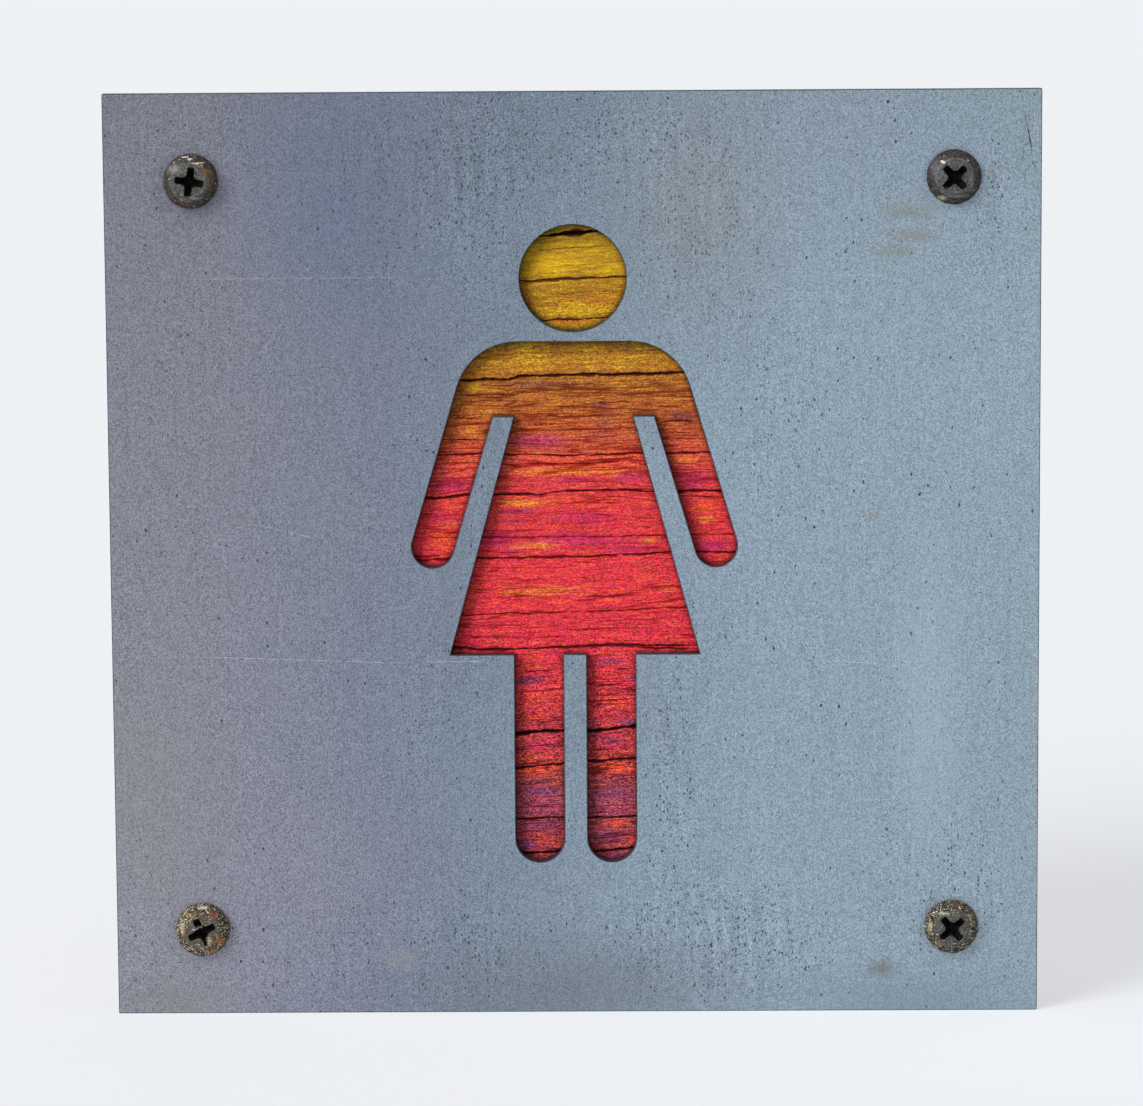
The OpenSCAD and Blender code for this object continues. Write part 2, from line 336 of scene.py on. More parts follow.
    # pits: one cell each, of its own size, thicker in patches
    pitPlace = addNode(tree, "Mapping", {0: place, "Scale": (
        1 / (plate["pitSpacing"] * mm), 0.0, 1 / (plate["pitSpacing"] * plate["pitHeight"] * mm))})
    ragged = addNode(tree, "TexNoise", {"Vector": place, "Scale": 1 / (plate["pitRag"] * mm),
                                        "Detail": 2.0})
    raggedPlace = addNode(tree, "VectorMath", {0: ragged.outputs[1], 1: (0.35, 0.35, 0.35), 2: pitPlace},
                          operation="MULTIPLY_ADD")
    cell = addNode(tree, "TexVoronoi", {"Vector": raggedPlace, "Scale": 1.0, "Randomness": 1.0})
    cellTone = addNode(tree, "SeparateColor", {0: cell.outputs["Color"]})
    patch = addNode(tree, "TexNoise", {"Vector": place, "Scale": 1 / (plate["patchSize"] * mm),
                                       "Detail": 2.0})
    patchSize = addNode(tree, "MapRange", {0: patch.outputs[0], 1: 0.4, 2: 0.62, 3: 0.0, 4: 0.07})
    pitSize = addNode(tree, "MapRange", {0: cellTone, 1: 0.0, 2: 1.0, 3: -0.04, 4: 0.12})
    pitSize = addNode(tree, "Math", {0: pitSize, 1: patchSize}, operation="ADD")
    pit = addNode(tree, "Math", {0: pitSize, 1: cell.outputs["Distance"]}, operation="SUBTRACT")
    pit = addNode(tree, "MapRange", {0: pit, 1: 0.0, 2: 0.06, 3: 0.0, 4: 0.9})
    base = addNode(tree, "Mix", {0: pit, 1: base, 2: "#2c333b"}, data_type="RGBA")
    # fine dark flecks, thickest where the skin is most worn
    fleckPlace = addNode(tree, "Mapping", {0: place, "Scale": (
        1 / (plate["fleckWidth"] * mm), 0.0, 1 / (plate["fleckHeight"] * mm))})
    fleckPlace = addNode(tree, "VectorMath", {0: ragged.outputs[1], 1: (0.5, 0.5, 0.5), 2: fleckPlace},
                         operation="MULTIPLY_ADD")
    fleck = addNode(tree, "TexVoronoi", {"Vector": fleckPlace, "Scale": 1.0, "Randomness": 1.0})
    fleckPart = addNode(tree, "SeparateColor", {0: fleck.outputs["Color"]}).outputs[0]
    share = addNode(tree, "MapRange", {0: crowd, 1: 0.0, 2: 1.0, 3: 0.11, 4: 0.64})
    fleckSize = addNode(tree, "Math", {0: share, 1: fleckPart}, operation="SUBTRACT")
    fleckSize = addNode(tree, "MapRange", {0: fleckSize, 1: 0.0, 2: 0.3, 3: 0.1, 4: 0.34})
    fleckMask = addNode(tree, "Math", {0: fleckSize, 1: fleck.outputs["Distance"]}, operation="SUBTRACT")
    fleckMask = addNode(tree, "MapRange", {0: fleckMask, 1: 0.0, 2: 0.08, 3: 0.0, 4: 0.8})
    base = addNode(tree, "Mix", {0: fleckMask, 1: base, 2: "#3a444e"}, data_type="RGBA")
    # bright specks where the skin is nicked
    nickPlace = addNode(tree, "Mapping", {0: place, "Location": (0.3, 0, 0.7), "Scale": (
        1 / (plate["nickSpacing"] * mm), 0.0, 1 / (plate["nickSpacing"] * mm))})
    nick = addNode(tree, "TexVoronoi", {"Vector": nickPlace, "Scale": 1.0, "Randomness": 1.0})
    nickParts = addNode(tree, "SeparateColor", {0: nick.outputs["Color"]})
    nickSize = addNode(tree, "MapRange", {0: nickParts, 1: 0.55, 2: 1.0, 3: 0.0, 4: 0.055})
    nickMask = addNode(tree, "Math", {0: nickSize, 1: nick.outputs["Distance"]}, operation="SUBTRACT")
    nickMask = addNode(tree, "MapRange", {0: nickMask, 1: 0.0, 2: 0.02, 3: 0.0, 4: 0.8})
    base = addNode(tree, "Mix", {0: nickMask, 1: base, 2: "#c9cdd3"}, data_type="RGBA")
    # marks on the front face only, among them painted shadow round the screw heads and painted shade in a
    # crease
    front = addNode(tree, "MapRange", {0: y, 1: plateLow.y + 0.01 * mm, 2: plateLow.y + 0.03 * mm,
                                       3: 1.0, 4: 0.0})
    torn = addNode(tree, "TexNoise", {"Vector": place, "Scale": 1 / (plate["markRag"] * mm), "Detail": 4.0,
                                      "Roughness": 0.7})
    for centre, size, colour, strength in smudges:
        far = reachFrom(tree, place, centre, size)
        edge = addNode(tree, "Math", {0: torn.outputs[0], 1: 1.3, 2: far}, operation="MULTIPLY_ADD")
        mark = addNode(tree, "MapRange", {0: edge, 1: 1.7, 2: 0.8, 3: 0.0, 4: strength})
        mark = addNode(tree, "Math", {0: mark, 1: front}, operation="MULTIPLY")
        base = addNode(tree, "Mix", {0: mark, 1: base, 2: colour}, data_type="RGBA")
    for start, end, half, strength, colour in scratches:
        run = Vector((end[0] - start[0], 0, end[1] - start[1]))
        off = addNode(tree, "VectorMath", {0: place, 1: (-start[0] * mm, 0, -start[1] * mm)},
                      operation="ADD")
        aside = addNode(tree, "VectorMath", {0: off, 1: (-run.z / run.length, 0, run.x / run.length)},
                        operation="DOT_PRODUCT").outputs["Value"]
        aside = addNode(tree, "Math", {0: aside}, operation="ABSOLUTE")
        line = addNode(tree, "MapRange", {0: aside, 1: half * mm, 2: 0.0, 3: 0.0, 4: strength})
        along = addNode(tree, "VectorMath", {0: off, 1: run.normalized()}, operation="DOT_PRODUCT")
        along = along.outputs["Value"]
        along = addNode(tree, "Math", {0: along, 1: run.length / 2 * mm}, operation="SUBTRACT")
        along = addNode(tree, "Math", {0: along}, operation="ABSOLUTE")
        along = addNode(tree, "MapRange", {0: along, 1: run.length / 2 * mm, 2: run.length * 0.4 * mm})
        line = addNode(tree, "Math", {0: line, 1: along}, operation="MULTIPLY")
        gaps = addNode(tree, "MapRange", {0: torn.outputs[0], 1: 0.36, 2: 0.52})
        line = addNode(tree, "Math", {0: line, 1: gaps}, operation="MULTIPLY")
        line = addNode(tree, "Math", {0: line, 1: front}, operation="MULTIPLY")
        base = addNode(tree, "Mix", {0: line, 1: base, 2: colour}, data_type="RGBA")
    # the cut walls are dull, and a dark burr runs along every edge
    pastFront = addNode(tree, "MapRange", {0: y, 1: plateLow.y + 0.05 * mm, 2: plateLow.y + 0.15 * mm})
    beforeBack = addNode(tree, "MapRange", {0: y, 1: plateHigh.y - 0.15 * mm, 2: plateHigh.y - 0.05 * mm,
                                            3: 1.0, 4: 0.0})
    wall = addNode(tree, "Math", {0: pastFront, 1: beforeBack}, operation="MULTIPLY")
    burr = addNode(tree, "Attribute", attribute_name="burr").outputs["Fac"]
    burr = addNode(tree, "MapRange", {0: burr, 1: 0.25, 2: 0.85, 3: 0.0, 4: 0.85})
    base = addNode(tree, "Mix", {0: burr, 1: base, 2: "#2b3238"}, data_type="RGBA")
    base = addNode(tree, "Mix", {0: wall, 1: base, 2: "#59626a"}, data_type="RGBA")
    tree.links.new(base.outputs[2], shader.inputs["Base Color"])
    shader.inputs["Metallic"].default_value = 1.0
    rough = addNode(tree, "MapRange", {0: grainParts[2], 3: plate["smoothest"], 4: plate["roughest"]})
    tree.links.new(rough.outputs[0], shader.inputs["Roughness"])
    relief = addNode(tree, "Math", {0: pit, 1: -1.5, 2: streak.outputs[0]}, operation="MULTIPLY_ADD")
    bump = addNode(tree, "Bump", {"Height": relief, "Strength": 0.35, "Distance": 0.02 * mm})
    tree.links.new(bump.outputs[0], shader.inputs["Normal"])
    return material


def ringFaces(mesh):
    # a narrow ring inside every edge of the two big faces, for the burr
    for point in mesh.vertices:
        point.select = False
    for edge in mesh.edges:
        edge.select = False
    for face in mesh.polygons:
        face.select = abs(face.normal.y) > plate["faceOn"]
    tools = bpy.context.tool_settings
    tools.mesh_select_mode = (False, False, True)
    bpy.ops.object.mode_set(mode="EDIT")
    bpy.ops.mesh.inset(thickness=plate["burrWidth"] * mm, use_boundary=True, use_even_offset=True)
    bpy.ops.object.mode_set(mode="OBJECT")
    tools.mesh_select_mode = (True, False, False)


def markBurr(mesh):
    # 1 at the points on an edge, 0 at those inside the two big faces, which stay flat
    mesh.attributes.new("burr", "FLOAT", "POINT")
    burr = mesh.attributes["burr"]
    for face in mesh.polygons:
        face.use_smooth = abs(face.normal.y) < plate["faceOn"]
        if face.use_smooth:
            for point in face.vertices:
                burr.data[point].value = 1.0


def cutPlate():
    piece = bpy.data.objects.new("cut_steel_plate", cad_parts["face_plate"].data.copy())
    scene.collection.objects.link(piece)
    only(piece)
    bpy.ops.mesh.customdata_custom_splitnormals_clear()
    bpy.ops.object.mode_set(mode="EDIT")
    bpy.ops.mesh.select_all(action="SELECT")
    bpy.ops.mesh.remove_doubles(threshold=hair)
    bpy.ops.mesh.dissolve_limited(angle_limit=radians(plate["flatWithin"]))
    bpy.ops.object.mode_set(mode="OBJECT")
    ringFaces(piece.data)
    applyModifier(piece, "BEVEL", width=plate["edgeBreak"] * mm, segments=plate["breakSteps"],
                  limit_method="ANGLE", angle_limit=radians(plate["sharpAngle"]))
    settle(piece, plate["smoothAngle"])
    markBurr(piece.data)
    piece.data.materials.clear()
    piece.data.materials.append(millSteel())
    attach(piece, "root")
    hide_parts("face_plate")


cutPlate()
print("face plate made")


# Backing board: weathered softwood, its grain across the sign. Sizes in mm
board = dict(
    easedEdge=1.5, easedSteps=4,
    windowX=28.8, windowLow=-52.0, windowHigh=54.5,     # what shows through the figure, with a margin
    columnStep=0.48, rowStep=0.36, leastRow=0.06,       # between the points of the front
    longSplitRows=(0.1, 0.2, 0.31, 0.45),               # how far from a split its own rows lie
    shortSplitRows=(0.09, 0.22),
    splitReach=1.1, trueMargin=2,       # how far a split is felt, and where the relief fades by the edges
    outerColumns=(35.0, 44.0, 53.0, 61.0, 70.0), outerRowStep=2.0,
    farSlope=0.8,                       # degrees, how the grain rises to the right past the window
    # relief of the late wood and of single fibres: height, length and width of its waves, shift
    relief=((0.16, 34, 1.15, 3.7), (0.07, 5.0, 0.42, 9.1)),
    # how a split's mouth swells and how its line wanders: amount, wavelength, spread over splits, shift
    swells=((0.5, 3.1, 7.3, 0.5), (0.75, 0.8, 3.1, 4.5), (0.5, 11.0, 5.7, 8.5)),
    wanders=((0.16, 1.4, 5.1, 2.5), (0.06, 0.5, 2.3, 6.5)),
    taper=2.5, lip=0.14, lipDepth=0.1,  # where a split closes, and the worn lip beside it
    shadeMargin=0.6, shadowReach=1.7, shadowSteps=5,      # where painted shade and shadow fall beside the plate's cut edges
    holeRadius=2.5, drillLength=30, holeSides=48,
    smoothAngle=50,                     # degrees
    # noises drawn out along the grain: length, width, detail, roughness and shift, for the broad and the
    # middle drift of the stain, its fibres, and the long and the short hairline cracks
    streaks=((11.0, 1.1, 3.0, 0.6, 0.0), (4.6, 0.55, 4.0, 0.7, 3.1), (3.0, 0.13, 4.0, 0.7, 7.7),
             (26.0, 1.5, 1.2, 0.5, 5.5), (14.0, 0.9, 1.5, 0.5, 21.7)),
    strand=(0.26, 0.09), strandBend=(3, 1),     # single strands, as fine as the view can show
    mottle=(1.2, 0.7),
    stainTop=54, stainFoot=-52, tornBy=2.2,     # the run of the stain, and how ragged its borders are
    stainDeep=(2.9, 3.4),               # how far round the edges it went
    heart=(34, 12), ringWidth=2.8, pore=(7, 0.5),       # the bare wood: its heart's y and z
    wobble=(95, 22), wobbleBy=6,        # waves of its rings
)
# Long splits that run from end to end: height at the middle, mouth width, depth, the points they pass
longSplits = [
    (52.2, 0.88, 1.2, [(-5.0, 51.8), (0.8, 52.3), (4.5, 52.6)]),
    (44.9, 0.36, 0.4, [(-8.1, 44.5), (-2.4, 44.8), (8.5, 45.1)]),
    (38.35, 0.34, 0.4, [(-5.1, 38.2), (5.5, 38.5)]),
    (29.3, 0.60, 0.7, [(-18.1, 28.6), (-10.5, 28.7), (-8.4, 29.2), (7.9, 29.4), (18.9, 29.7)]),
    (16.4, 0.34, 0.45, [(-22.0, 16.5), (-14.8, 16.6), (0.7, 16.3), (11.1, 16.6), (22.0, 16.6)]),
    (10.45, 0.54, 0.6, [(-21.6, 9.5), (-16.8, 10.0), (-5.5, 10.0), (-2.9, 10.4), (6.5, 10.7), (13.0, 10.3),
                        (23.6, 10.4)]),
    (3.1, 0.24, 0.25, [(-21.7, 3.1), (-14.7, 3.0), (5.2, 3.1)]),
    (-0.25, 0.44, 0.45, [(-21.7, -0.6), (-15.7, -0.4), (-1.3, -0.3), (10.0, 0.1), (15.6, 0.5), (26.0, 0.4)]),
    (-9.2, 0.30, 0.3, [(-17.1, -9.6), (-7.9, -9.4), (4.1, -9.1), (17.8, -8.6)]),
    (-14.95, 0.52, 0.5, [(-19.9, -14.9), (-14.9, -15.4), (-7.3, -15.3), (0.5, -14.9), (6.1, -14.7),
                         (19.5, -14.9)]),
    (-28.8, 0.64, 0.9, [(-9.7, -29.3), (-6.3, -28.9), (2.0, -28.8), (9.8, -28.2)]),
    (-34.0, 0.54, 0.55, [(-9.5, -34.9), (-5.0, -34.4), (2.0, -33.8), (9.8, -33.4)]),
    (-43.05, 0.40, 0.5, [(-9.6, -43.3), (-1.9, -43.1), (2.0, -43.2), (9.8, -43.0)]),
    (-48.85, 0.46, 0.7, [(-8.7, -49.0), (-2.8, -48.8), (3.0, -48.8), (9.5, -48.2)]),
]
# Short splits: from x to x, height at their middle, mouth width
shortSplits = [
    (-4.5, 9.0, 42.6, 0.22), (-5.0, 6.0, 27.8, 0.24), (-19.5, -5.0, 26.2, 0.28), (-5.5, 8.0, 25.9, 0.16),
    (-19.5, -9.5, 25.15, 0.28), (-4.6, 2.8, 24.15, 0.24), (11.5, 19.0, 24.2, 0.28), (13.0, 19.4, 26.0, 0.20),
    (-6.8, 6.6, 22.7, 0.28), (-20.4, -13.5, 22.4, 0.30), (13.0, 21.0, 21.8, 0.42),
    (-21.2, -13.6, 18.9, 0.40), (-10.4, -7.8, 19.0, 0.28), (-8.5, 8.8, 15.0, 0.28),
    (-22.0, -15.0, 15.1, 0.20), (18.0, 22.8, 15.25, 0.26), (18.3, 23.0, 14.5, 0.18), (17.0, 24.5, 9.5, 0.36),
    (8.0, 14.4, 6.05, 0.24), (-2.4, 4.4, 4.45, 0.24), (19.5, 26.2, 4.1, 0.24), (-1.2, 4.2, -3.7, 0.20),
    (-12.8, -6.4, -5.3, 0.24), (11.8, 16.0, -5.35, 0.26), (-16.6, -9.6, -6.9, 0.24), (0.3, 10.0, -6.7, 0.30),
    (-3.0, 11.6, -12.0, 0.24), (6.8, 11.6, -14.0, 0.22), (9.0, 20.0, -15.3, 0.42), (-9.8, -1.6, -18.9, 0.32),
    (5.2, 10.0, -18.65, 0.34), (-7.2, -1.8, -21.1, 0.24), (1.8, 10.0, -21.2, 0.24), (3.4, 7.4, -20.25, 0.2),
    (-9.7, -1.9, -22.15, 0.18), (-6.2, -1.9, -23.7, 0.18), (-4.8, -1.8, -42.6, 0.26),
    (2.0, 7.4, -42.35, 0.28), (2.2, 5.8, -46.9, 0.26), (-9.0, -4.0, -26.0, 0.16), (3.0, 9.0, -25.6, 0.16),
    (-8.6, -3.0, -37.4, 0.2), (5.0, 9.6, -37.0, 0.24), (-8.0, 7.0, 49.8, 0.14), (-3.0, 6.5, 36.4, 0.14),
    (-15.0, 15.5, 33.0, 0.12), (-3.0, 12.0, 20.6, 0.2), (-7.0, 1.5, 12.9, 0.16), (1.0, 12.5, 8.6, 0.16),
    (-12.0, -4.0, 5.7, 0.14), (2.0, 13.0, 1.9, 0.14), (-13.6, 1.0, -2.0, 0.14), (3.0, 16.5, -10.6, 0.16),
    (-17.0, -6.0, -11.4, 0.16), (-18.6, -8.0, -13.3, 0.16), (7.0, 17.5, 27.4, 0.28),
    (-14.0, -6.5, 27.7, 0.26), (2.0, 11.5, 24.9, 0.24), (-9.5, -3.5, 24.7, 0.22), (8.4, 13.0, 22.2, 0.26),
    (-8.6, -1.0, 21.3, 0.24), (-1.0, 8.6, 19.3, 0.2), (-3.5, 2.4, 17.7, 0.2), (3.5, 10.5, 9.6, 0.24),
    (-20.5, -14.5, 20.6, 0.22), (13.5, 20.5, 19.9, 0.22), (14.5, 21.5, 18.9, 0.2),
]
# The stain from the feet up to the crown of the head, darker at 0.815 and 1.0 with painted shadow under the
# plate's top edges: share of the way, colour
stainAndShadowRun = [
    (0.0, "#86384a"), (0.05, "#8c3a46"), (0.075, "#723a4c"), (0.10, "#904868"), (0.13, "#7c4048"),
    (0.15, "#94404a"), (0.165, "#be4238"), (0.21, "#b8384a"), (0.25, "#d23a48"), (0.30, "#de3646"),
    (0.36, "#dc2c44"), (0.42, "#e23242"), (0.50, "#e03444"), (0.575, "#dc363e"), (0.61, "#da4446"),
    (0.64, "#de5a40"), (0.67, "#bc5634"), (0.70, "#b45a2a"), (0.75, "#a25828"), (0.79, "#b47028"),
    # 0.815, at the top of the body, and 1.0, at the crown, are painted shadow under the plate's top edges
    (0.815, "#845824"), (0.84, "#aa8228"), (0.87, "#a87424"), (0.90, "#a47222"), (0.925, "#b0871f"),
    (0.955, "#ba8f1d"), (1.0, "#827022"),
]
# Where the stain's colours pool: centre x and z, half length, half height, strength
goldPools = [
    (-3.2, 47.1, 5.0, 2.2, 1.0), (6.0, 46.4, 2.6, 1.4, 0.9), (0.4, 39.8, 7.0, 1.2, 0.9),
    (-1.0, 48.6, 5.0, 1.2, 0.5), (-6.0, 31.6, 8.0, 1.9, 0.55), (9.0, 31.2, 9.0, 1.8, 0.5),
    (-16.0, 27.3, 2.2, 0.8, 0.8), (-14.6, 23.3, 2.6, 1.0, 0.6), (-16.4, 20.1, 3.2, 1.1, 0.65),
    (-1.0, 13.8, 12.0, 1.0, 0.8), (-8.2, 8.6, 4.2, 0.9, 1.0), (-6.5, 1.7, 4.4, 0.9, 0.85),
    (-6.0, -5.8, 10.5, 1.1, 0.7), (15.1, -5.8, 2.6, 0.8, 0.6), (21.4, 5.9, 2.0, 0.6, 0.9),
    (-16.4, 7.4, 3.0, 0.5, 0.6), (-19.2, 5.4, 2.0, 0.5, 0.5), (12.4, 2.5, 2.0, 0.7, 0.7),
    (17.6, 15.4, 3.6, 0.9, 0.7), (15.0, 9.3, 2.0, 0.5, 0.4), (5.5, 9.4, 3.0, 0.6, 0.5),
]
rosePools = [
    (-6.0, 18.6, 6.0, 1.4, 1.0), (4.5, 19.4, 4.4, 1.4, 0.5), (-19.9, 11.6, 3.6, 1.3, 1.0),
    (-0.2, 12.4, 3.4, 0.7, 0.9), (9.1, 12.7, 4.0, 1.0, 0.9), (9.4, 1.0, 6.0, 0.8, 0.9),
    (19.2, 12.2, 3.4, 2.2, 0.9), (22.4, 1.4, 4.0, 1.1, 0.9), (-21.6, 6.3, 2.8, 0.9, 0.8),
    (-5.6, -41.2, 4.6, 1.2, 0.45), (6.1, -41.8, 4.6, 1.0, 0.4), (-5.5, -31.2, 4.4, 1.6, 0.6),
    (6.0, -31.2, 4.4, 1.4, 0.6), (0.5, 2.6, 11.0, 1.6, 0.85), (-12.0, 2.8, 3.6, 1.9, 0.95),
    (2.0, 6.2, 8.0, 1.3, 0.8), (8.0, -11.0, 9.0, 1.2, 0.3), (-12.0, -11.5, 6.0, 1.1, 0.3),
]
plumPools = [
    (-5.0, 27.9, 9.0, 0.6, 0.9), (5.1, 22.6, 3.6, 1.6, 0.5), (-9.1, 7.2, 5.0, 0.7, 0.8),
    (-10.1, 0.7, 1.8, 0.4, 0.9), (5.6, -17.4, 3.4, 0.9, 0.8), (-7.2, -20.5, 2.8, 0.8, 1.0),
    (9.4, -20.2, 1.8, 0.8, 0.8), (8.7, -27.3, 2.2, 0.9, 0.8), (-6.0, -38.6, 4.2, 0.9, 1.0),
    (5.9, -39.2, 4.8, 0.9, 0.9), (-5.6, -44.5, 4.4, 0.9, 0.7), (-8.2, -47.6, 1.8, 1.2, 1.0),
    (5.0, -46.4, 3.8, 1.4, 0.8), (6.0, -49.8, 3.8, 1.1, 0.8), (17.6, 13.4, 1.8, 1.2, 0.7),
    (17.2, 22.6, 3.4, 1.4, 0.8), (4.7, 24.4, 2.2, 1.0, 0.8), (4.7, 21.1, 2.0, 0.9, 0.7),
    (19.6, 23.1, 1.2, 0.8, 0.6), (9.6, -4.0, 1.6, 0.8, 0.3), (4.0, -29.8, 4.0, 0.8, 0.6),
    (-8.6, -40.0, 1.4, 2.4, 0.6), (6.5, 11.9, 5.0, 0.6, 0.4), (-6.0, -37.2, 4.0, 0.9, 0.45),
    (6.0, -37.2, 4.4, 0.9, 0.45), (-5.0, -42.0, 4.4, 0.7, 0.4), (-8.6, -20.6, 1.6, 0.9, 0.8),
    (-5.0, -27.9, 4.6, 0.5, 0.45), (6.0, -30.4, 2.4, 0.9, 0.7), (2.6, -28.0, 1.2, 1.6, 0.7),
    (9.0, 2.0, 4.0, 0.7, 0.4), (-9.4, 5.6, 3.6, 0.6, 0.6), (10.4, -1.6, 3.0, 0.8, 0.4),
]
flamePools = [
    (-6.6, -35.4, 3.0, 0.9, 0.9), (6.5, -35.0, 4.2, 1.1, 0.9), (-5.8, -46.2, 2.6, 1.2, 0.6),
    (6.9, -44.0, 3.6, 0.8, 0.8), (8.8, -46.9, 1.7, 0.9, 0.7), (-6.2, -23.2, 3.4, 1.2, 0.6),
    (6.8, -24.4, 3.8, 1.3, 0.6), (7.3, -18.3, 3.6, 0.8, 0.5), (21.2, 7.9, 3.0, 1.6, 0.9),
    (-19.2, 8.3, 3.2, 1.1, 0.7), (-21.2, 2.4, 2.8, 2.6, 0.9), (0.0, 8.6, 14.0, 1.2, 0.45),
    (10.0, -5.6, 8.0, 1.2, 0.5), (-4.0, -48.0, 2.2, 0.9, 0.4), (0.0, 4.4, 10.0, 0.9, 0.3),
    (-2.0, 15.8, 8.0, 0.9, 0.6), (-6.0, -17.6, 4.0, 1.0, 0.5), (-5.0, -27.2, 3.2, 0.8, 0.4),
    (-12.0, 17.4, 4.0, 0.9, 0.5), (-16.0, 17.6, 5.0, 1.0, 0.7), (0.0, 14.3, 12.0, 1.6, 0.7),
    (0.0, 21.0, 12.0, 1.4, 0.35), (16.0, 17.0, 4.0, 1.4, 0.5), (3.5, 41.0, 4.0, 2.6, 0.5),
    (0.0, 38.0, 6.0, 0.8, 0.6),
]


def bendOf(points, middle, x):
    # how far a long split lies above its middle height at x, with a steady slope past its points
    if x <= points[0][0]:
        return points[0][1] - middle + (x - points[0][0]) * tan(radians(board["farSlope"]))
    for (x0, z0), (x1, z1) in zip(points, points[1:]):
        if x <= x1:
            part = (x - x0) / (x1 - x0)
            return z0 + (z1 - z0) * part * part * (3 - 2 * part) - middle
    return points[-1][1] - middle + (x - points[-1][0]) * tan(radians(board["farSlope"]))


bendsAt = {}    # the long splits' bends at each x, kept once they are known


def heightOf(x, grain):
    # height of a grain line at x: the lines bend with the long splits above and below them
    if x not in bendsAt:
        bendsAt[x] = [(middle, bendOf(points, middle, x)) for middle, _, _, points in longSplits]
    bends = bendsAt[x]
    if grain >= bends[0][0]:
        return grain + bends[0][1]
    for (above, bendAbove), (below, bendBelow) in zip(bends, bends[1:]):
        if grain >= below:
            part = (grain - below) / (above - below)
            return grain + bendBelow + (bendAbove - bendBelow) * part
    return grain + bends[-1][1]


def grainAt(x, z):
    # the grain line that passes a point
    grain = z
    for _ in range(4):
        grain += z - heightOf(x, grain)
    return grain


def allSplits():
    # every split on its grain line: line, from x, to x, mouth width, depth, where its own rows lie
    edge = 2 * boardHigh.x / mm
    found = [(middle, -edge, edge, width, deep, board["longSplitRows"])
             for middle, width, deep, _ in longSplits]
    for start, end, height, width in shortSplits:
        line = grainAt((start + end) / 2, height)
        found.append((line, start, end, 0.85 * width, width, board["shortSplitRows"]))
    return found


def boardColumns():
    steps = round(2 * board["windowX"] / board["columnStep"])
    inner = [-board["windowX"] + i * board["columnStep"] for i in range(steps + 1)]
    outer = list(board["outerColumns"])
    return [-x for x in reversed(outer)] + inner + outer


def boardRows(splits):
    # grain lines from bottom to top: close together at the splits, wide outside the window
    top = boardHigh.z / mm - board["easedEdge"]
    wanted = {-top, top}
    for line, _, _, _, _, beside in splits:
        wanted.update([line] + [line + side * off for off in beside for side in (-1, 1)])
    rows = []
    for line in sorted(wanted):
        if rows and line - rows[-1] < board["leastRow"]:
            continue
        if rows:
            inside = board["windowLow"] < line and rows[-1] < board["windowHigh"]
            step = board["rowStep"] if inside else board["outerRowStep"]
            last = rows[-1]
            count = int((line - last) / step) + 1
            rows += [last + (line - last) * i / count for i in range(1, count)]
        rows.append(line)
    return rows


def weathering(x, line, near):
    # depth below the board's face in mm, and how far into a split the point lies, from 0 to 1
    depth = 0.0
    for height, length, thick, shift in board["relief"]:
        depth += height * (0.5 + 0.5 * noise.noise(Vector((x / length, line / thick, shift))))
    inside = 0.0
    for split, start, end, width, deep, _ in near:
        taper = min(1.0, max(0.0, (x - start) / board["taper"]), max(0.0, (end - x) / board["taper"]))
        if taper <= 0:
            continue
        swell = 0.8
        for amount, wave, spread, shift in board["swells"]:
            swell += amount * noise.noise(Vector((x / wave, split * spread, shift)))
        half = width / 2 * max(0.2, swell) * (0.35 + 0.65 * taper)
        wander = 0.0
        for amount, wave, spread, shift in board["wanders"]:
            wander += amount * noise.noise(Vector((x / wave, split * spread, shift)))
        off = abs(line - split - wander)
        darkness = min(1.0, 0.5 + 0.5 * deep)
        if off < half:
            part = 1 - off / half
            depth = max(depth, deep * taper * (0.25 + 0.75 * part))
            inside = max(inside, darkness * taper * (0.6 + 0.4 * part))
        else:
            lip = exp(-(off - half) / board["lip"]) * taper
            depth += board["lipDepth"] * lip
            inside = max(inside, 0.12 * darkness * lip)
    return depth, inside


def poolAt(pools, x, z):
    amount = 0.0
    for cx, cz, halfX, halfZ, strength in pools:
        far = ((x - cx) / halfX) ** 2 + ((z - cz) / halfZ) ** 2
        if far < 3:
            amount = max(amount, strength * exp(-far))
    return amount


def coveredAt(x, z, plateTree):
    # whether steel lies in front of a point of the board
    start = Vector((x * mm, boardLow.y + mm, z * mm))
    return plateTree.ray_cast(start, Vector((0, -1, 0)))[0] is not None


def paintedShadowAt(x, z, plateTree):
    # painted shadow of the plate's edges: 0 under the steel, 0.5 in the open, and up to 1 close to the steel
    # that stands left and above, where the key light's shadow falls
    margin = board["shadeMargin"]
    steps = ((0, 0), (margin, 0), (-margin, 0), (0, margin), (0, -margin))
    if all(coveredAt(x + stepX, z + stepZ, plateTree) for stepX, stepZ in steps):
        return 0.0
    count = board["shadowSteps"]
    for i in range(1, count + 1):
        away = board["shadowReach"] * i / count
        if coveredAt(x - away, z + 0.5 * away, plateTree):
            return 1.0 - 0.5 * (i - 1) / count
    return 0.5


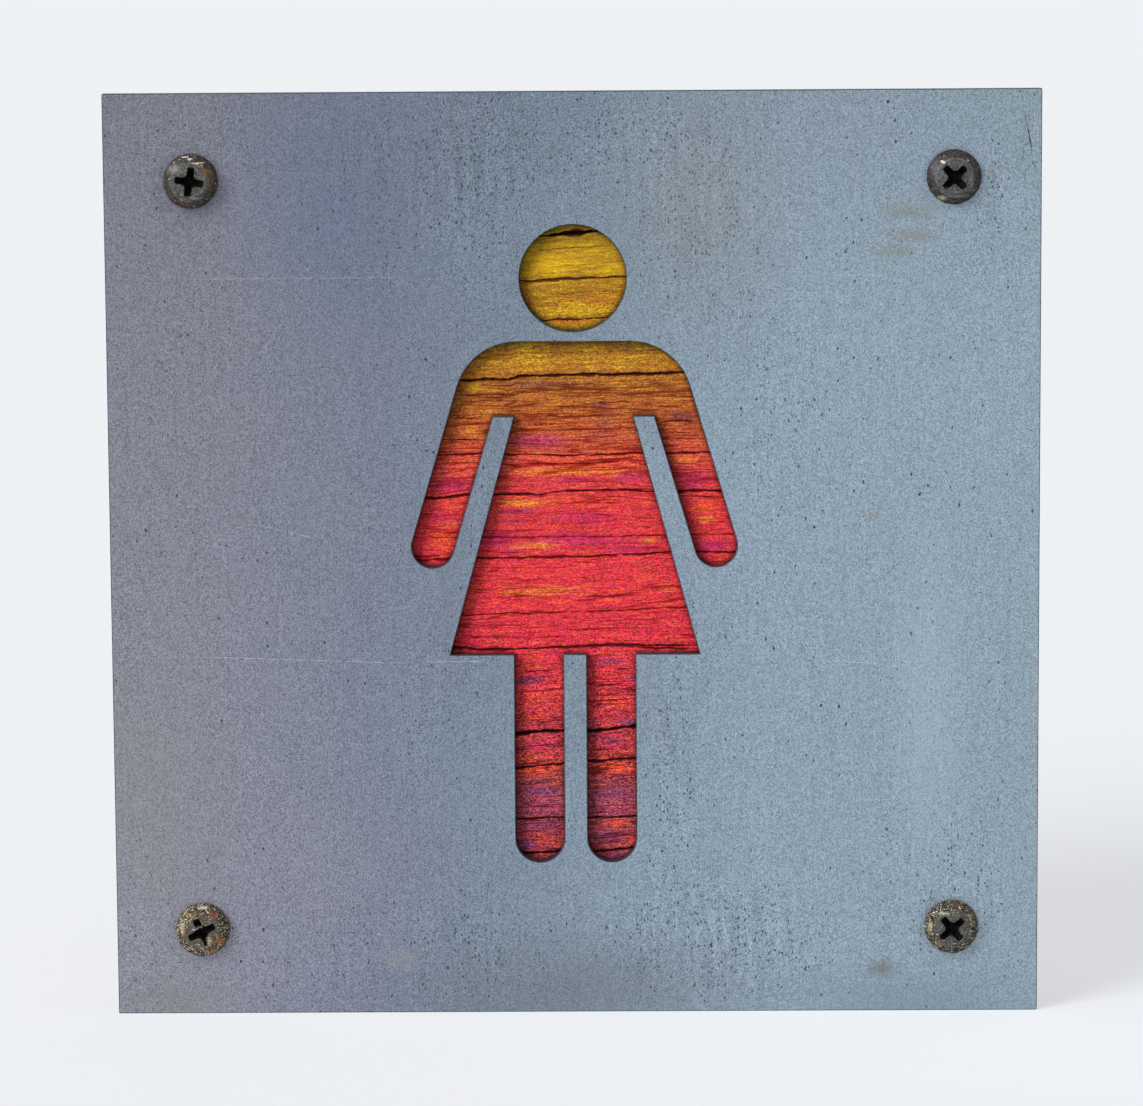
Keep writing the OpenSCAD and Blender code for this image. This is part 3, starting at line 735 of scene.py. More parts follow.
def shapeFront(piece, columns, rows, splits):
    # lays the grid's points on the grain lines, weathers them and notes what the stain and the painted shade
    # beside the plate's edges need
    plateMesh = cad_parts["face_plate"].data
    plateTree = BVHTree.FromPolygons([point.co for point in plateMesh.vertices],
                                     [face.vertices for face in plateMesh.polygons])
    mesh = piece.data
    across = len(columns)
    mesh.attributes.new("stain_pools", "FLOAT_COLOR", "POINT")
    mesh.attributes.new("split_depth", "FLOAT", "POINT")
    mesh.attributes.new("grime", "FLOAT", "POINT")
    pools, splitDark, grime = (mesh.attributes[name] for name in ("stain_pools", "split_depth", "grime"))
    stainPools = (goldPools, rosePools, plumPools, flamePools)
    places = []
    for row, line in enumerate(rows):
        near = [s for s in splits if abs(s[0] - line) < board["splitReach"]]
        for column, x in enumerate(columns):
            point = row * across + column
            z = heightOf(x, line) if abs(line) < board["windowHigh"] else line
            depth, inside = weathering(x, line, near)
            depth *= min(1.0, (rows[-1] - abs(line)) / board["trueMargin"])
            mesh.vertices[point].co = (x * mm, boardLow.y + depth * mm, z * mm)
            pools.data[point].color = [poolAt(kind, x, z) for kind in stainPools]
            # how far into a split: dark with dirt and painted shade
            splitDark.data[point].value = inside
            # the grime attribute holds painted shade and shadow beside the plate's cut edges, where the wood
            # shows
            inWindow = abs(x) < board["windowX"] and board["windowLow"] < line < board["windowHigh"]
            grime.data[point].value = paintedShadowAt(x, z, plateTree) if inWindow else 0.0
            places.append((x * mm, line * mm))
    layer = mesh.uv_layers.new(name="grain")
    for loop in mesh.loops:
        layer.data[loop.index].uv = places[loop.vertex_index]


def selectPoints(mesh, test):
    # selects, in object mode, the points that pass a test, and the edges between them
    for edge in mesh.edges:
        edge.select = False
    for face in mesh.polygons:
        face.select = False
    for point in mesh.vertices:
        point.select = test(point.co)
    for edge in mesh.edges:
        edge.select = all(mesh.vertices[v].select for v in edge.vertices)


def sawnBoard():
    splits = allSplits()
    columns, rows = boardColumns(), boardRows(splits)
    bpy.ops.object.select_all(action="DESELECT")
    bpy.ops.mesh.primitive_grid_add(x_subdivisions=len(columns) - 1, y_subdivisions=len(rows) - 1, size=1)
    piece = bpy.context.object
    piece.name = "weathered_board"
    shapeFront(piece, columns, rows, splits)
    mesh = piece.data
    radius = board["easedEdge"] * mm
    steps = board["easedSteps"]
    for side in (-1, 1):
        # the eased front edge, the sawn edge and the eased back edge
        edgeLine = side * (boardHigh.z - radius)
        selectPoints(mesh, lambda co: abs(co.z - edgeLine) < hair)
        path = []
        for i in range(1, steps + 1):
            turn = pi / 2 * i / steps
            path.append((radius * sin(turn), radius * (1 - cos(turn))))
        depth = boardHigh.y - boardLow.y
        path += [(radius, depth - radius)]
        for i in range(1, steps + 1):
            turn = pi / 2 * i / steps
            path.append((radius * cos(turn), depth - radius + radius * sin(turn)))
        bpy.ops.object.mode_set(mode="EDIT")
        out, back = 0.0, 0.0
        for nextOut, nextBack in path:
            bpy.ops.mesh.extrude_region_move(TRANSFORM_OT_translate={
                "value": (0, nextBack - back, side * (nextOut - out))})
            out, back = nextOut, nextBack
        bpy.ops.object.mode_set(mode="OBJECT")
    # the upper back edge is drawn down over the back and welded to the lower one
    backSpan = 2 * (boardHigh.z - radius)
    selectPoints(mesh, lambda co: abs(co.y - boardHigh.y) < hair and co.z > 0)
    bpy.ops.object.mode_set(mode="EDIT")
    bpy.ops.mesh.extrude_region_move(TRANSFORM_OT_translate={"value": (0, 0, -backSpan)})
    bpy.ops.mesh.select_all(action="SELECT")
    bpy.ops.mesh.remove_doubles(threshold=hair)
    bpy.ops.object.mode_set(mode="OBJECT")
    for side in (-1, 1):
        selectPoints(mesh, lambda co: abs(co.x - side * boardHigh.x) < hair)
        bpy.ops.object.mode_set(mode="EDIT")
        bpy.ops.mesh.edge_face_add()
        bpy.ops.object.mode_set(mode="OBJECT")
    settle(piece, board["smoothAngle"])
    drillBoard(piece)
    return piece


def drillBoard(piece):
    # four clearance holes for the screws
    spacing = (screwLow.x + screwHigh.x) / 2
    bpy.ops.object.select_all(action="DESELECT")
    drills = []
    for side in (-1, 1):
        for level in (-1, 1):
            bpy.ops.mesh.primitive_cylinder_add(
                vertices=board["holeSides"], radius=board["holeRadius"] * mm, depth=board["drillLength"] * mm,
                location=(side * spacing, boardLow.y / 2, level * spacing), rotation=(pi / 2, 0, 0))
            drills.append(bpy.context.object)
    for drill in drills:
        drill.select_set(True)
    bpy.ops.object.join()
    drill = bpy.context.object
    applyModifier(piece, "BOOLEAN", object=drill, operation="DIFFERENCE", solver="EXACT")
    bpy.data.objects.remove(drill)
    only(piece)
    bpy.ops.object.shade_smooth_by_angle(angle=radians(board["smoothAngle"]))


def stainedSoftwood():
    # weathered softwood under an old stain: ochre at the top through crimson to plum at the feet; matt and
    # fibrous, the stain streaked along the grain, with painted shadow under the plate's top edges, dark with
    # dirt and painted shade in the splits, almost black in the deep ones, and with painted shade and shadow
    # along the foot of the plate's cut edges
    material, tree, shader = newMaterial("stained_softwood")
    grain = addNode(tree, "UVMap", uv_map="grain")
    place = addNode(tree, "TexCoord").outputs["Object"]
    y = addNode(tree, "SeparateXYZ", {0: place}).outputs[1]
    line = addNode(tree, "SeparateXYZ", {0: grain}).outputs[1]
    drawn = []
    for length, width, detail, roughness, shift in board["streaks"]:
        spot = addNode(tree, "Mapping", {0: grain, "Location": (shift, shift, 0),
                                         "Scale": (1 / (length * mm), 1 / (width * mm), 1)})
        drawn.append(addNode(tree, "TexNoise", {"Vector": spot, "Scale": 1.0, "Detail": detail,
                                                "Roughness": roughness}).outputs[0])
    broad, mid, fibre, longCrack, shortCrack = drawn
    # strands: short cells along the grain, each with its own shade and hue
    strandSpot, bentSpot, mottleSpot = (
        addNode(tree, "Mapping", {0: grain, "Scale": (1 / (length * mm), 1 / (height * mm), 1)})
        for length, height in (board["strand"], board["strandBend"], board["mottle"]))
    bent = addNode(tree, "TexNoise", {"Vector": bentSpot, "Scale": 1.0, "Detail": 2.0}).outputs[1]
    strandSpot = addNode(tree, "VectorMath", {0: bent, 1: (1.4, 1.8, 0.0), 2: strandSpot},
                         operation="MULTIPLY_ADD")
    strand = addNode(tree, "TexVoronoi", {"Vector": strandSpot, "Scale": 1.0, "Randomness": 1.0},
                     voronoi_dimensions="2D")
    strandParts = addNode(tree, "SeparateColor", {0: strand.outputs["Color"]}).outputs
    # the stain's own run down the board, with its painted shadow under the plate's top edges, its borders
    # torn by the grain
    torn = addNode(tree, "MapRange", {0: broad, 1: 0.25, 2: 0.75,
                                      3: -board["tornBy"] * mm, 4: board["tornBy"] * mm})
    level = addNode(tree, "Math", {0: line, 1: torn}, operation="ADD")
    level = addNode(tree, "MapRange", {0: level, 1: board["stainFoot"] * mm, 2: board["stainTop"] * mm})
    run = addNode(tree, "ValToRGB", {0: level}, stops=stainAndShadowRun)
    # hue drifts between orange and magenta in the red, and between gold and brown above it
    upper = addNode(tree, "MapRange", {0: line, 1: 15 * mm, 2: 31 * mm})
    warm = addNode(tree, "Mix", {0: upper, 1: "#ee6a2c", 2: "#dcb014"}, data_type="RGBA")
    cool = addNode(tree, "Mix", {0: upper, 1: "#b4285c", 2: "#8a4a26"}, data_type="RGBA")
    warmShare = addNode(tree, "MapRange", {0: mid, 1: 0.50, 2: 0.68, 3: 0.0, 4: 0.75})
    coolShare = addNode(tree, "MapRange", {0: mid, 1: 0.48, 2: 0.30, 3: 0.0, 4: 0.6})
    colour = addNode(tree, "Mix", {0: warmShare, 1: run, 2: warm.outputs[2]}, data_type="RGBA")
    colour = addNode(tree, "Mix", {0: coolShare, 1: colour, 2: cool.outputs[2]}, data_type="RGBA")
    # pools of other colours, frayed along the fibres; gold turns to orange down the board
    gold = addNode(tree, "Mix", {0: upper, 1: "#ea9226", 2: "#deb01c"}, data_type="RGBA")
    pools = addNode(tree, "Attribute", attribute_name="stain_pools")
    poolParts = addNode(tree, "SeparateColor", {0: pools.outputs["Color"]})
    fray = addNode(tree, "Math", {0: mid, 1: fibre}, operation="ADD")
    fray = addNode(tree, "MapRange", {0: fray, 1: 0.7, 2: 1.3, 3: -0.45, 4: 0.45})
    plum = addNode(tree, "Mix", {0: upper, 1: "#523e6c", 2: "#6c3034"}, data_type="RGBA")
    for amount, tone, share in ((poolParts.outputs[2], plum.outputs[2], 0.9),
                                (poolParts.outputs[1], "#b02466", 0.85),
                                (pools.outputs["Alpha"], "#ee5824", 0.85),
                                (poolParts.outputs[0], gold.outputs[2], 0.92)):
        mask = addNode(tree, "Math", {0: amount, 1: fray}, operation="ADD")
        mask = addNode(tree, "MapRange", {0: mask, 1: 0.34, 2: 0.9, 3: 0.0, 4: share})
        colour = addNode(tree, "Mix", {0: mask, 1: colour, 2: tone}, data_type="RGBA")
    # strands: some lean to orange, some to a darker red, each a little lighter or darker
    strandHue = addNode(tree, "ValToRGB", {0: strandParts[0]}, stops=[
        (0.0, "#f47a34"), (0.3, "#e84038"), (0.62, "#d02a56"), (1.0, "#8a2034")])
    strandHigh = addNode(tree, "ValToRGB", {0: strandParts[0]}, stops=[
        (0.0, "#e8c824"), (0.4, "#c89a28"), (0.75, "#a06a24"), (1.0, "#a84a20")])
    strandHue = addNode(tree, "Mix", {0: upper, 1: strandHue, 2: strandHigh}, data_type="RGBA")
    colour = addNode(tree, "Mix", {0: 0.2, 1: colour, 2: strandHue.outputs[2]}, data_type="RGBA")
    towardsFeet = addNode(tree, "MapRange", {0: line, 1: -10 * mm, 2: -24 * mm})
    towardsCrown = addNode(tree, "MapRange", {0: line, 1: 41 * mm, 2: 47 * mm})
    fibreSwing = addNode(tree, "MapRange", {0: towardsFeet, 3: 0.24, 4: 0.66})
    fibreSwing = addNode(tree, "Math", {0: towardsCrown, 1: -0.1, 2: fibreSwing}, operation="MULTIPLY_ADD")
    fibreTone = addNode(tree, "MapRange", {0: fibre, 1: 0.28, 2: 0.72, 3: -1.0, 4: 1.0})
    fibreTone = addNode(tree, "Math", {0: fibreTone, 1: fibreSwing, 2: 0.97}, operation="MULTIPLY_ADD")
    strandSwing = addNode(tree, "MapRange", {0: towardsFeet, 3: 0.6, 4: 0.95})
    strandSwing = addNode(tree, "Math", {0: towardsCrown, 1: -0.3, 2: strandSwing}, operation="MULTIPLY_ADD")
    strandTone = addNode(tree, "MapRange", {0: strandParts[1], 3: -1.0, 4: 1.0})
    strandTone = addNode(tree, "Math", {0: strandTone, 1: strandSwing, 2: 1.0}, operation="MULTIPLY_ADD")
    mottle = addNode(tree, "TexNoise", {"Vector": mottleSpot, "Scale": 1.0, "Detail": 3.0, "Roughness": 0.6})
    mottle = addNode(tree, "MapRange", {0: mottle.outputs[0], 1: 0.3, 2: 0.7, 3: 0.88, 4: 1.12})
    tone = addNode(tree, "Math", {0: fibreTone, 1: strandTone}, operation="MULTIPLY")
    tone = addNode(tree, "Math", {0: tone, 1: mottle}, operation="MULTIPLY")
    colour = addNode(tree, "VectorMath", {0: colour.outputs[2], "Scale": tone}, operation="SCALE")
    # hairline cracks, where a drawn-out noise crosses its middle
    onChest = addNode(tree, "Math", {0: line, 1: 20.0 * mm}, operation="SUBTRACT")
    onChest = addNode(tree, "Math", {0: onChest}, operation="ABSOLUTE")
    onChest = addNode(tree, "MapRange", {0: onChest, 1: 9.5 * mm, 2: 7 * mm})
    fewest = addNode(tree, "MapRange", {0: onChest, 3: 0.05, 4: 0.6})
    most = addNode(tree, "MapRange", {0: line, 1: 28 * mm, 2: 30 * mm, 3: 0.95, 4: 0.3})
    patches = addNode(tree, "MapRange", {0: broad, 1: 0.46, 2: 0.58, 3: fewest, 4: most})
    width = addNode(tree, "MapRange", {0: onChest, 3: 0.027, 4: 0.036})
    darker = addNode(tree, "Mix", {0: towardsFeet, 1: "#880408", 2: "#4a0a12"}, data_type="RGBA")
    darker = addNode(tree, "Mix", {0: upper, 1: darker.outputs[2], 2: "#5c2408"}, data_type="RGBA")
    for crack in (longCrack, shortCrack):
        hairline = addNode(tree, "Math", {0: crack, 1: 0.5}, operation="SUBTRACT")
        hairline = addNode(tree, "Math", {0: hairline}, operation="ABSOLUTE")
        hairline = addNode(tree, "Math", {0: hairline, 1: width}, operation="DIVIDE")
        hairline = addNode(tree, "MapRange", {0: hairline, 1: 1.0, 2: 0.3, 3: 0.0, 4: 0.9})
        hairline = addNode(tree, "Math", {0: hairline, 1: patches}, operation="MULTIPLY")
        colour = addNode(tree, "Mix", {0: hairline, 1: colour, 2: darker.outputs[2]}, data_type="RGBA")
        colour = colour.outputs[2]
    # splits: dark with dirt and painted shade, the deep ones almost black
    split = addNode(tree, "Attribute", attribute_name="split_depth").outputs["Fac"]
    shallow = addNode(tree, "MapRange", {0: split, 1: 0.1, 2: 0.45, 3: 0.0, 4: 0.92})
    colour = addNode(tree, "Mix", {0: shallow, 1: colour, 2: darker.outputs[2]}, data_type="RGBA")
    deep = addNode(tree, "MapRange", {0: split, 1: 0.62, 2: 1.0, 3: 0.0, 4: 0.9})
    colour = addNode(tree, "Mix", {0: deep, 1: colour.outputs[2], 2: "#420a02"}, data_type="RGBA")
    # painted shade on the wood along the foot of the plate's cut edges, where the corner is occluded, and
    # painted shadow beside the steel that stands left and above it, where the key light's shadow falls
    paintedCornerShade = addNode(tree, "AmbientOcclusion", {"Distance": 0.9 * mm}, samples=4).outputs["AO"]
    paintedCornerShade = addNode(tree, "MapRange", {0: paintedCornerShade, 1: 0.92, 2: 0.5, 3: 0.0, 4: 0.8})
    # the grime attribute: 0 under the steel, 0.5 in the open, up to 1 in the painted shadow
    grime = addNode(tree, "Attribute", attribute_name="grime").outputs["Fac"]
    shown = addNode(tree, "MapRange", {0: grime, 1: 0.0, 2: 0.5})
    paintedCornerShade = addNode(tree, "Math", {0: paintedCornerShade, 1: shown}, operation="MULTIPLY")
    paintedKeyShadow = addNode(tree, "MapRange", {0: grime, 1: 0.5, 2: 1.0, 3: 0.0, 4: 0.42})
    paintedCornerShade = addNode(tree, "Math", {0: paintedCornerShade, 1: paintedKeyShadow}, operation="MAXIMUM")
    colour = addNode(tree, "Mix", {0: paintedCornerShade, 1: colour.outputs[2], 2: "#1c0c08"}, data_type="RGBA")
    # bare wood past the stained front: pale, with growth rings about the heart behind the board
    fromHeart = addNode(tree, "VectorMath", {0: place, 1: (
        0.0, -board["heart"][0] * mm, -board["heart"][1] * mm)}, operation="ADD")
    fromHeart = addNode(tree, "VectorMath", {0: fromHeart, 1: (0.04, 1.0, 1.0)}, operation="MULTIPLY")
    ringSpot = addNode(tree, "VectorMath", {0: fromHeart}, operation="LENGTH").outputs["Value"]
    (wobbleLength, wobbleWidth), (poreLength, poreWidth) = board["wobble"], board["pore"]
    wobbleSpot = addNode(tree, "Mapping", {0: place, "Scale": (
        1 / (wobbleLength * mm), 1 / (wobbleWidth * mm), 1 / (wobbleWidth * mm))})
    wobble = addNode(tree, "TexNoise", {"Vector": wobbleSpot, "Scale": 1.0, "Detail": 2.0})
    ringSpot = addNode(tree, "Math", {0: wobble.outputs[0], 1: board["wobbleBy"] * mm, 2: ringSpot},
                       operation="MULTIPLY_ADD")
    ring = addNode(tree, "Math", {0: ringSpot, 1: 1 / (board["ringWidth"] * mm)}, operation="MULTIPLY")
    ring = addNode(tree, "Math", {0: ring}, operation="FRACT")
    poreSpot = addNode(tree, "Mapping", {0: place, "Scale": (
        1 / (poreLength * mm), 1 / (poreWidth * mm), 1 / (poreWidth * mm))})
    pore = addNode(tree, "TexNoise", {"Vector": poreSpot, "Scale": 1.0, "Detail": 3.0, "Roughness": 0.65})
    bare = addNode(tree, "ValToRGB", {0: ring}, stops=[
        (0.0, "#a68a68"), (0.6, "#9a7b58"), (0.86, "#7c5c40"), (0.93, "#74543a"), (1.0, "#a68a68")])
    poreTone = addNode(tree, "MapRange", {0: pore.outputs[0], 1: 0.3, 2: 0.7, 3: 0.72, 4: 1.2})
    bare = addNode(tree, "VectorMath", {0: bare, "Scale": poreTone}, operation="SCALE")
    lapped = addNode(tree, "MapRange", {0: pore.outputs[0], 1: 0.3, 2: 0.7, 3: -0.7 * mm, 4: 0.7 * mm})
    edgeOfStain = addNode(tree, "Math", {0: y, 1: lapped}, operation="ADD")
    isBare = addNode(tree, "MapRange", {0: edgeOfStain, 1: boardLow.y + board["stainDeep"][0] * mm,
                                        2: boardLow.y + board["stainDeep"][1] * mm})
    colour = addNode(tree, "Mix", {0: isBare, 1: colour.outputs[2], 2: bare}, data_type="RGBA")
    tree.links.new(colour.outputs[2], shader.inputs["Base Color"])
    rough = addNode(tree, "MapRange", {0: fibre, 1: 0.3, 2: 0.7, 3: 0.62, 4: 0.85})
    tree.links.new(rough.outputs[0], shader.inputs["Roughness"])
    shader.inputs["Specular IOR Level"].default_value = 0.12
    both = addNode(tree, "Math", {0: fibre, 1: strandParts[1]}, operation="ADD")
    both = addNode(tree, "Mix", {0: isBare, 1: both, 2: pore.outputs[0]})
    bump = addNode(tree, "Bump", {"Height": both, "Strength": 0.6, "Distance": 0.1 * mm})
    tree.links.new(bump.outputs[0], shader.inputs["Normal"])
    return material


def fitBoard():
    piece = sawnBoard()
    piece.data.materials.clear()
    piece.data.materials.append(stainedSoftwood())
    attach(piece, "root")
    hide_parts("backing_board")
    print("board made,", len(piece.data.polygons), "faces")


fitBoard()


# Wood screws with pan heads: modelled once, facing -Y with the head's underside at the origin.
# Sizes in mm
screw = dict(
    sides=64,
    # radius and height of the head's rings, from its underside to its crown
    headSection=[(4.4, 0.0), (4.4, 0.75), (4.36, 1.05), (4.22, 1.4), (4.0, 1.72), (3.7, 2.0),
                 (3.38, 2.22), (3.14, 2.32), (3.04, 2.33), (2.96, 2.5), (2.84, 2.57), (2.4, 2.62),
                 (1.8, 2.68), (1.2, 2.73), (0.5, 2.76)],
    shankRadius=1.65, length=40.0, threadLength=20.0, threadRise=0.8,
    threadRadius=2.25, coreRadius=1.45, pitch=2.1, ringsPerTurn=14,
    threadShare=0.28,                   # half of the thread's foot, as a share of the pitch
    pointLength=6.0, pointRadius=0.15, crownInset=0.3, crownRadius=0.25,
    wingReach=2.5, wingWidth=1.42,
    innerRound=0.75, innerSteps=3, tipRound=0.4, tipSteps=2,
    recessDepth=2.1, recessFloor=0.42,  # depth, and the floor's share of the mouth's size
    cutterOver=0.6,                     # how far the cutter starts above the head
    trueBelow=0.05, dent=0.07,          # its underside lies flat, and how far the rest strays from true
    rimFrom=3.2, pitting=0.2,           # where its rim begins, and how deep that is eaten
    smoothAngle=40,                     # degrees
    flatEdge=3.05,                      # radius where the flat of the head meets the rim
    grimeSize=1.3, bloomSize=0.9, speckSize=0.45,       # patches of dirt, of crust, and specks
    crustGrain=0.15, turnedRings=0.4,
)
# Each screw: node, turn of the cross in degrees, flat's colour, rim's colour, rust's colour and share, and
# marks, some of them painted glints and highlights: place from the head's centre in mm, half sizes in mm,
# colour, strength
fittedScrews = {
    "screw_top_left": dict(turn=-9, flat="#50504e", rim="#403c39", rust="#7a5434", rusty=0.32, marks=[
        # painted glints: the first three marks, at the top of the rim; painted highlight: the mark at (-2.6,
        # 2.1), on the upper left of the rim
        ((-0.7, 3.95), (0.4, 0.1), "#f4f0e4", 1.0), ((0.1, 3.65), (0.36, 0.1), "#e8e4d8", 1.0),
        ((1.5, 3.0), (0.7, 0.13), "#e8c8a0", 0.9), ((2.6, 1.5), (0.3, 0.4), "#a8743c", 0.7),
        ((3.2, 0.6), (0.8, 1.4), "#5e4a3a", 0.7), ((1.2, -2.6), (1.0, 0.16), "#8e8d86", 0.6),
        ((-2.6, 2.1), (0.9, 0.6), "#8c8d8a", 0.6), ((-0.2, -3.9), (1.3, 0.4), "#5a4638", 0.7)]),
    "screw_top_right": dict(turn=44, flat="#4d4d4d", rim="#3e3a3a", rust="#5a4028", rusty=0.2, marks=[
        # the first mark is a painted glint
        ((-1.9, 2.5), (0.35, 0.22), "#e4e0dc", 0.9), ((-2.1, -3.3), (0.8, 0.35), "#b09a80", 0.9),
        ((0.6, -3.0), (1.5, 0.2), "#84827c", 0.6), ((-3.2, 1.6), (0.5, 1.2), "#6c6a72", 0.5),
        ((2.7, -0.8), (0.22, 1.4), "#7c7a78", 0.5), ((-1.2, -1.9), (0.5, 0.4), "#5c5048", 0.7)]),
    "screw_bottom_left": dict(turn=26, flat="#5a544a", rim="#3b3832", rust="#80522e", rusty=0.95, marks=[
        # the first mark, in the cross, is a painted glint
        ((-0.75, 0.5), (0.5, 0.2), "#f8f0e8", 1.0), ((-3.2, 0.9), (0.4, 1.0), "#c8bb9c", 0.6),
        ((2.8, -1.6), (0.5, 0.7), "#b8743c", 0.8), ((1.1, -1.5), (0.4, 0.6), "#c4b8a4", 0.7),
        ((0.2, 3.9), (0.7, 0.2), "#e4e0d4", 0.7), ((-1.9, 2.6), (0.7, 0.4), "#988050", 0.6),
        ((2.0, 2.7), (0.6, 0.5), "#94483c", 0.6), ((1.6, -3.4), (1.0, 0.35), "#b07a4c", 0.6)]),
    "screw_bottom_right": dict(turn=40, flat="#4f4f4a", rim="#333532", rust="#5e4630", rusty=0.8, marks=[
        ((0.9, 3.9), (0.9, 0.35), "#6a4e34", 0.9), ((-1.4, 2.6), (0.8, 0.2), "#c4c8b4", 0.6),
        ((-3.7, 0.2), (0.3, 0.9), "#a09272", 0.6), ((2.9, -0.7), (0.2, 0.8), "#b0b0a8", 0.5),
        ((-2.3, -2.6), (0.6, 0.4), "#988868", 0.5), ((3.0, 2.0), (0.3, 0.5), "#989078", 0.5)]),
}


def shankSection():
    # radius and depth of each ring from the point up to the head, the thread's core where there is one
    length, pitch = screw["length"], screw["pitch"]
    step = pitch / screw["ringsPerTurn"]
    threadTop = length - screw["threadLength"]
    rings = []
    depth = length
    while depth > threadTop - screw["threadRise"]:
        rings.append(depth)
        depth -= step
    rings += [threadTop - screw["threadRise"], (threadTop - screw["threadRise"]) / 2, 0.0]
    return rings


def threadRadius(depth, angle):
    # radius at a depth under the head and an angle about the axis: a sharp helix on a tapered core
    threadTop = screw["length"] - screw["threadLength"]
    fade = min(1.0, max(0.0, (depth - threadTop + screw["threadRise"]) / screw["threadRise"]))
    toPoint = min(1.0, (screw["length"] - depth) / screw["pointLength"])
    core = screw["pointRadius"] + (screw["coreRadius"] - screw["pointRadius"]) * toPoint
    crest = screw["pointRadius"] + (screw["threadRadius"] - screw["pointRadius"]) * toPoint
    turnPart = (depth / screw["pitch"] + angle / (2 * pi)) % 1.0
    rise = max(0.0, 1 - abs(turnPart - 0.5) / screw["threadShare"])
    threaded = core + (crest - core) * rise
    return screw["shankRadius"] + (threaded - screw["shankRadius"]) * fade


def turnScrew():
    # a ring at the point, drawn up into the shank, spread into the head and closed at the crown
    rings = shankSection()
    bpy.ops.object.select_all(action="DESELECT")
    bpy.ops.mesh.primitive_circle_add(vertices=screw["sides"], radius=mm, location=(0, rings[0] * mm, 0),
                                      rotation=(pi / 2, 0, 0), fill_type="NGON")
    piece = bpy.context.object
    piece.name = "screw_pattern"
    bpy.ops.object.transform_apply(location=True, rotation=True, scale=True)
    section = [(None, depth) for depth in rings] + [(radius, -rise) for radius, rise in screw["headSection"]]
    bpy.ops.object.mode_set(mode="EDIT")
    bpy.ops.mesh.select_all(action="SELECT")
    last = rings[0]
    for _, depth in section[1:]:
        bpy.ops.mesh.extrude_region_move(TRANSFORM_OT_translate={"value": (0, (depth - last) * mm, 0)})
        last = depth
    bpy.ops.mesh.inset(thickness=screw["crownInset"] * mm)
    bpy.ops.object.mode_set(mode="OBJECT")
    # extrusion keeps the rings in order, so each ring's points are set to its own radius
    sides = screw["sides"]
    for ring, (radius, depth) in enumerate(section):
        for point in piece.data.vertices[ring * sides:(ring + 1) * sides]:
            angle = atan2(point.co.z, point.co.x)
            now = sqrt(point.co.x ** 2 + point.co.z ** 2)
            reach = (threadRadius(depth, angle) if radius is None else radius) * mm
            point.co.x *= reach / now
            point.co.z *= reach / now
            point.co.y = depth * mm
    for point in piece.data.vertices[len(section) * sides:]:
        now = sqrt(point.co.x ** 2 + point.co.z ** 2)
        point.co.x *= screw["crownRadius"] * mm / now
        point.co.z *= screw["crownRadius"] * mm / now
    return piece


def cutRecess(piece):
    # the driver's cross: a square, its four sides drawn out into wings, rounded where they meet, and
    # drawn down to a smaller floor
    over = screw["cutterOver"]
    top = -(screw["headSection"][-1][1] + over) * mm
    half = screw["wingWidth"] / 2 * mm
    bpy.ops.object.select_all(action="DESELECT")
    bpy.ops.mesh.primitive_plane_add(size=2 * half, location=(0, top, 0), rotation=(pi / 2, 0, 0))
    cutter = bpy.context.object
    bpy.ops.object.transform_apply(location=True, rotation=True, scale=True)
    mesh = cutter.data
    flare = 1 + over / screw["recessDepth"] * (1 - screw["recessFloor"])
    reach = screw["wingReach"] * mm * flare
    for along, across in ((0, 1), (2, 1), (0, -1), (2, -1)):
        selectPoints(mesh, lambda co: (abs(co[along] - across * half) < hair
                                       and abs(co[2 - along]) < half + hair))
        bpy.ops.object.mode_set(mode="EDIT")
        move = [0, 0, 0]
        move[along] = across * (reach - half)
        bpy.ops.mesh.extrude_region_move(TRANSFORM_OT_translate={"value": move})
        bpy.ops.object.mode_set(mode="OBJECT")
    selectPoints(mesh, lambda co: abs(abs(co.x) - half) < hair and abs(abs(co.z) - half) < hair)
    bpy.ops.object.mode_set(mode="EDIT")
    bpy.ops.mesh.bevel(affect="VERTICES", offset=screw["innerRound"] * mm,
                       segments=screw["innerSteps"])
    bpy.ops.object.mode_set(mode="OBJECT")
    selectPoints(mesh, lambda co: max(abs(co.x), abs(co.z)) > reach - hair)
    bpy.ops.object.mode_set(mode="EDIT")
    bpy.ops.mesh.bevel(affect="VERTICES", offset=screw["tipRound"] * mm,
                       segments=screw["tipSteps"])
    bpy.ops.mesh.select_all(action="SELECT")
    bpy.ops.mesh.extrude_region_move(TRANSFORM_OT_translate={
        "value": (0, (screw["recessDepth"] + over) * mm, 0)})
    bpy.ops.transform.resize(value=(screw["recessFloor"], 1, screw["recessFloor"]),
                             center_override=(0, 0, 0))
    bpy.ops.mesh.select_all(action="SELECT")
    bpy.ops.mesh.normals_make_consistent(inside=False)
    bpy.ops.object.mode_set(mode="OBJECT")
    applyModifier(piece, "BOOLEAN", object=cutter, operation="DIFFERENCE", solver="EXACT")
    bpy.data.objects.remove(cutter)


def batterHead(piece):
    # years of weather and a driver's slips leave the head a little out of true, its rim pitted inwards
    for point in piece.data.vertices:
        rise = -point.co.y / mm
        if rise < screw["trueBelow"]:
            continue
        spot = point.co / mm
        stray = noise.noise(spot * 0.9) + 0.6 * noise.noise(spot * 2.3)
        point.co.y += screw["dent"] * mm * (stray + 0.6) * min(1.0, rise)
        reach = sqrt(point.co.x ** 2 + point.co.z ** 2) / mm
        if reach > screw["rimFrom"]:
            eaten = 0.6 + noise.noise(spot * 1.1) + 0.8 * noise.noise(spot * 3.0)
            eaten = screw["pitting"] * max(0.0, eaten)
            point.co.x *= 1 - eaten / reach
            point.co.z *= 1 - eaten / reach


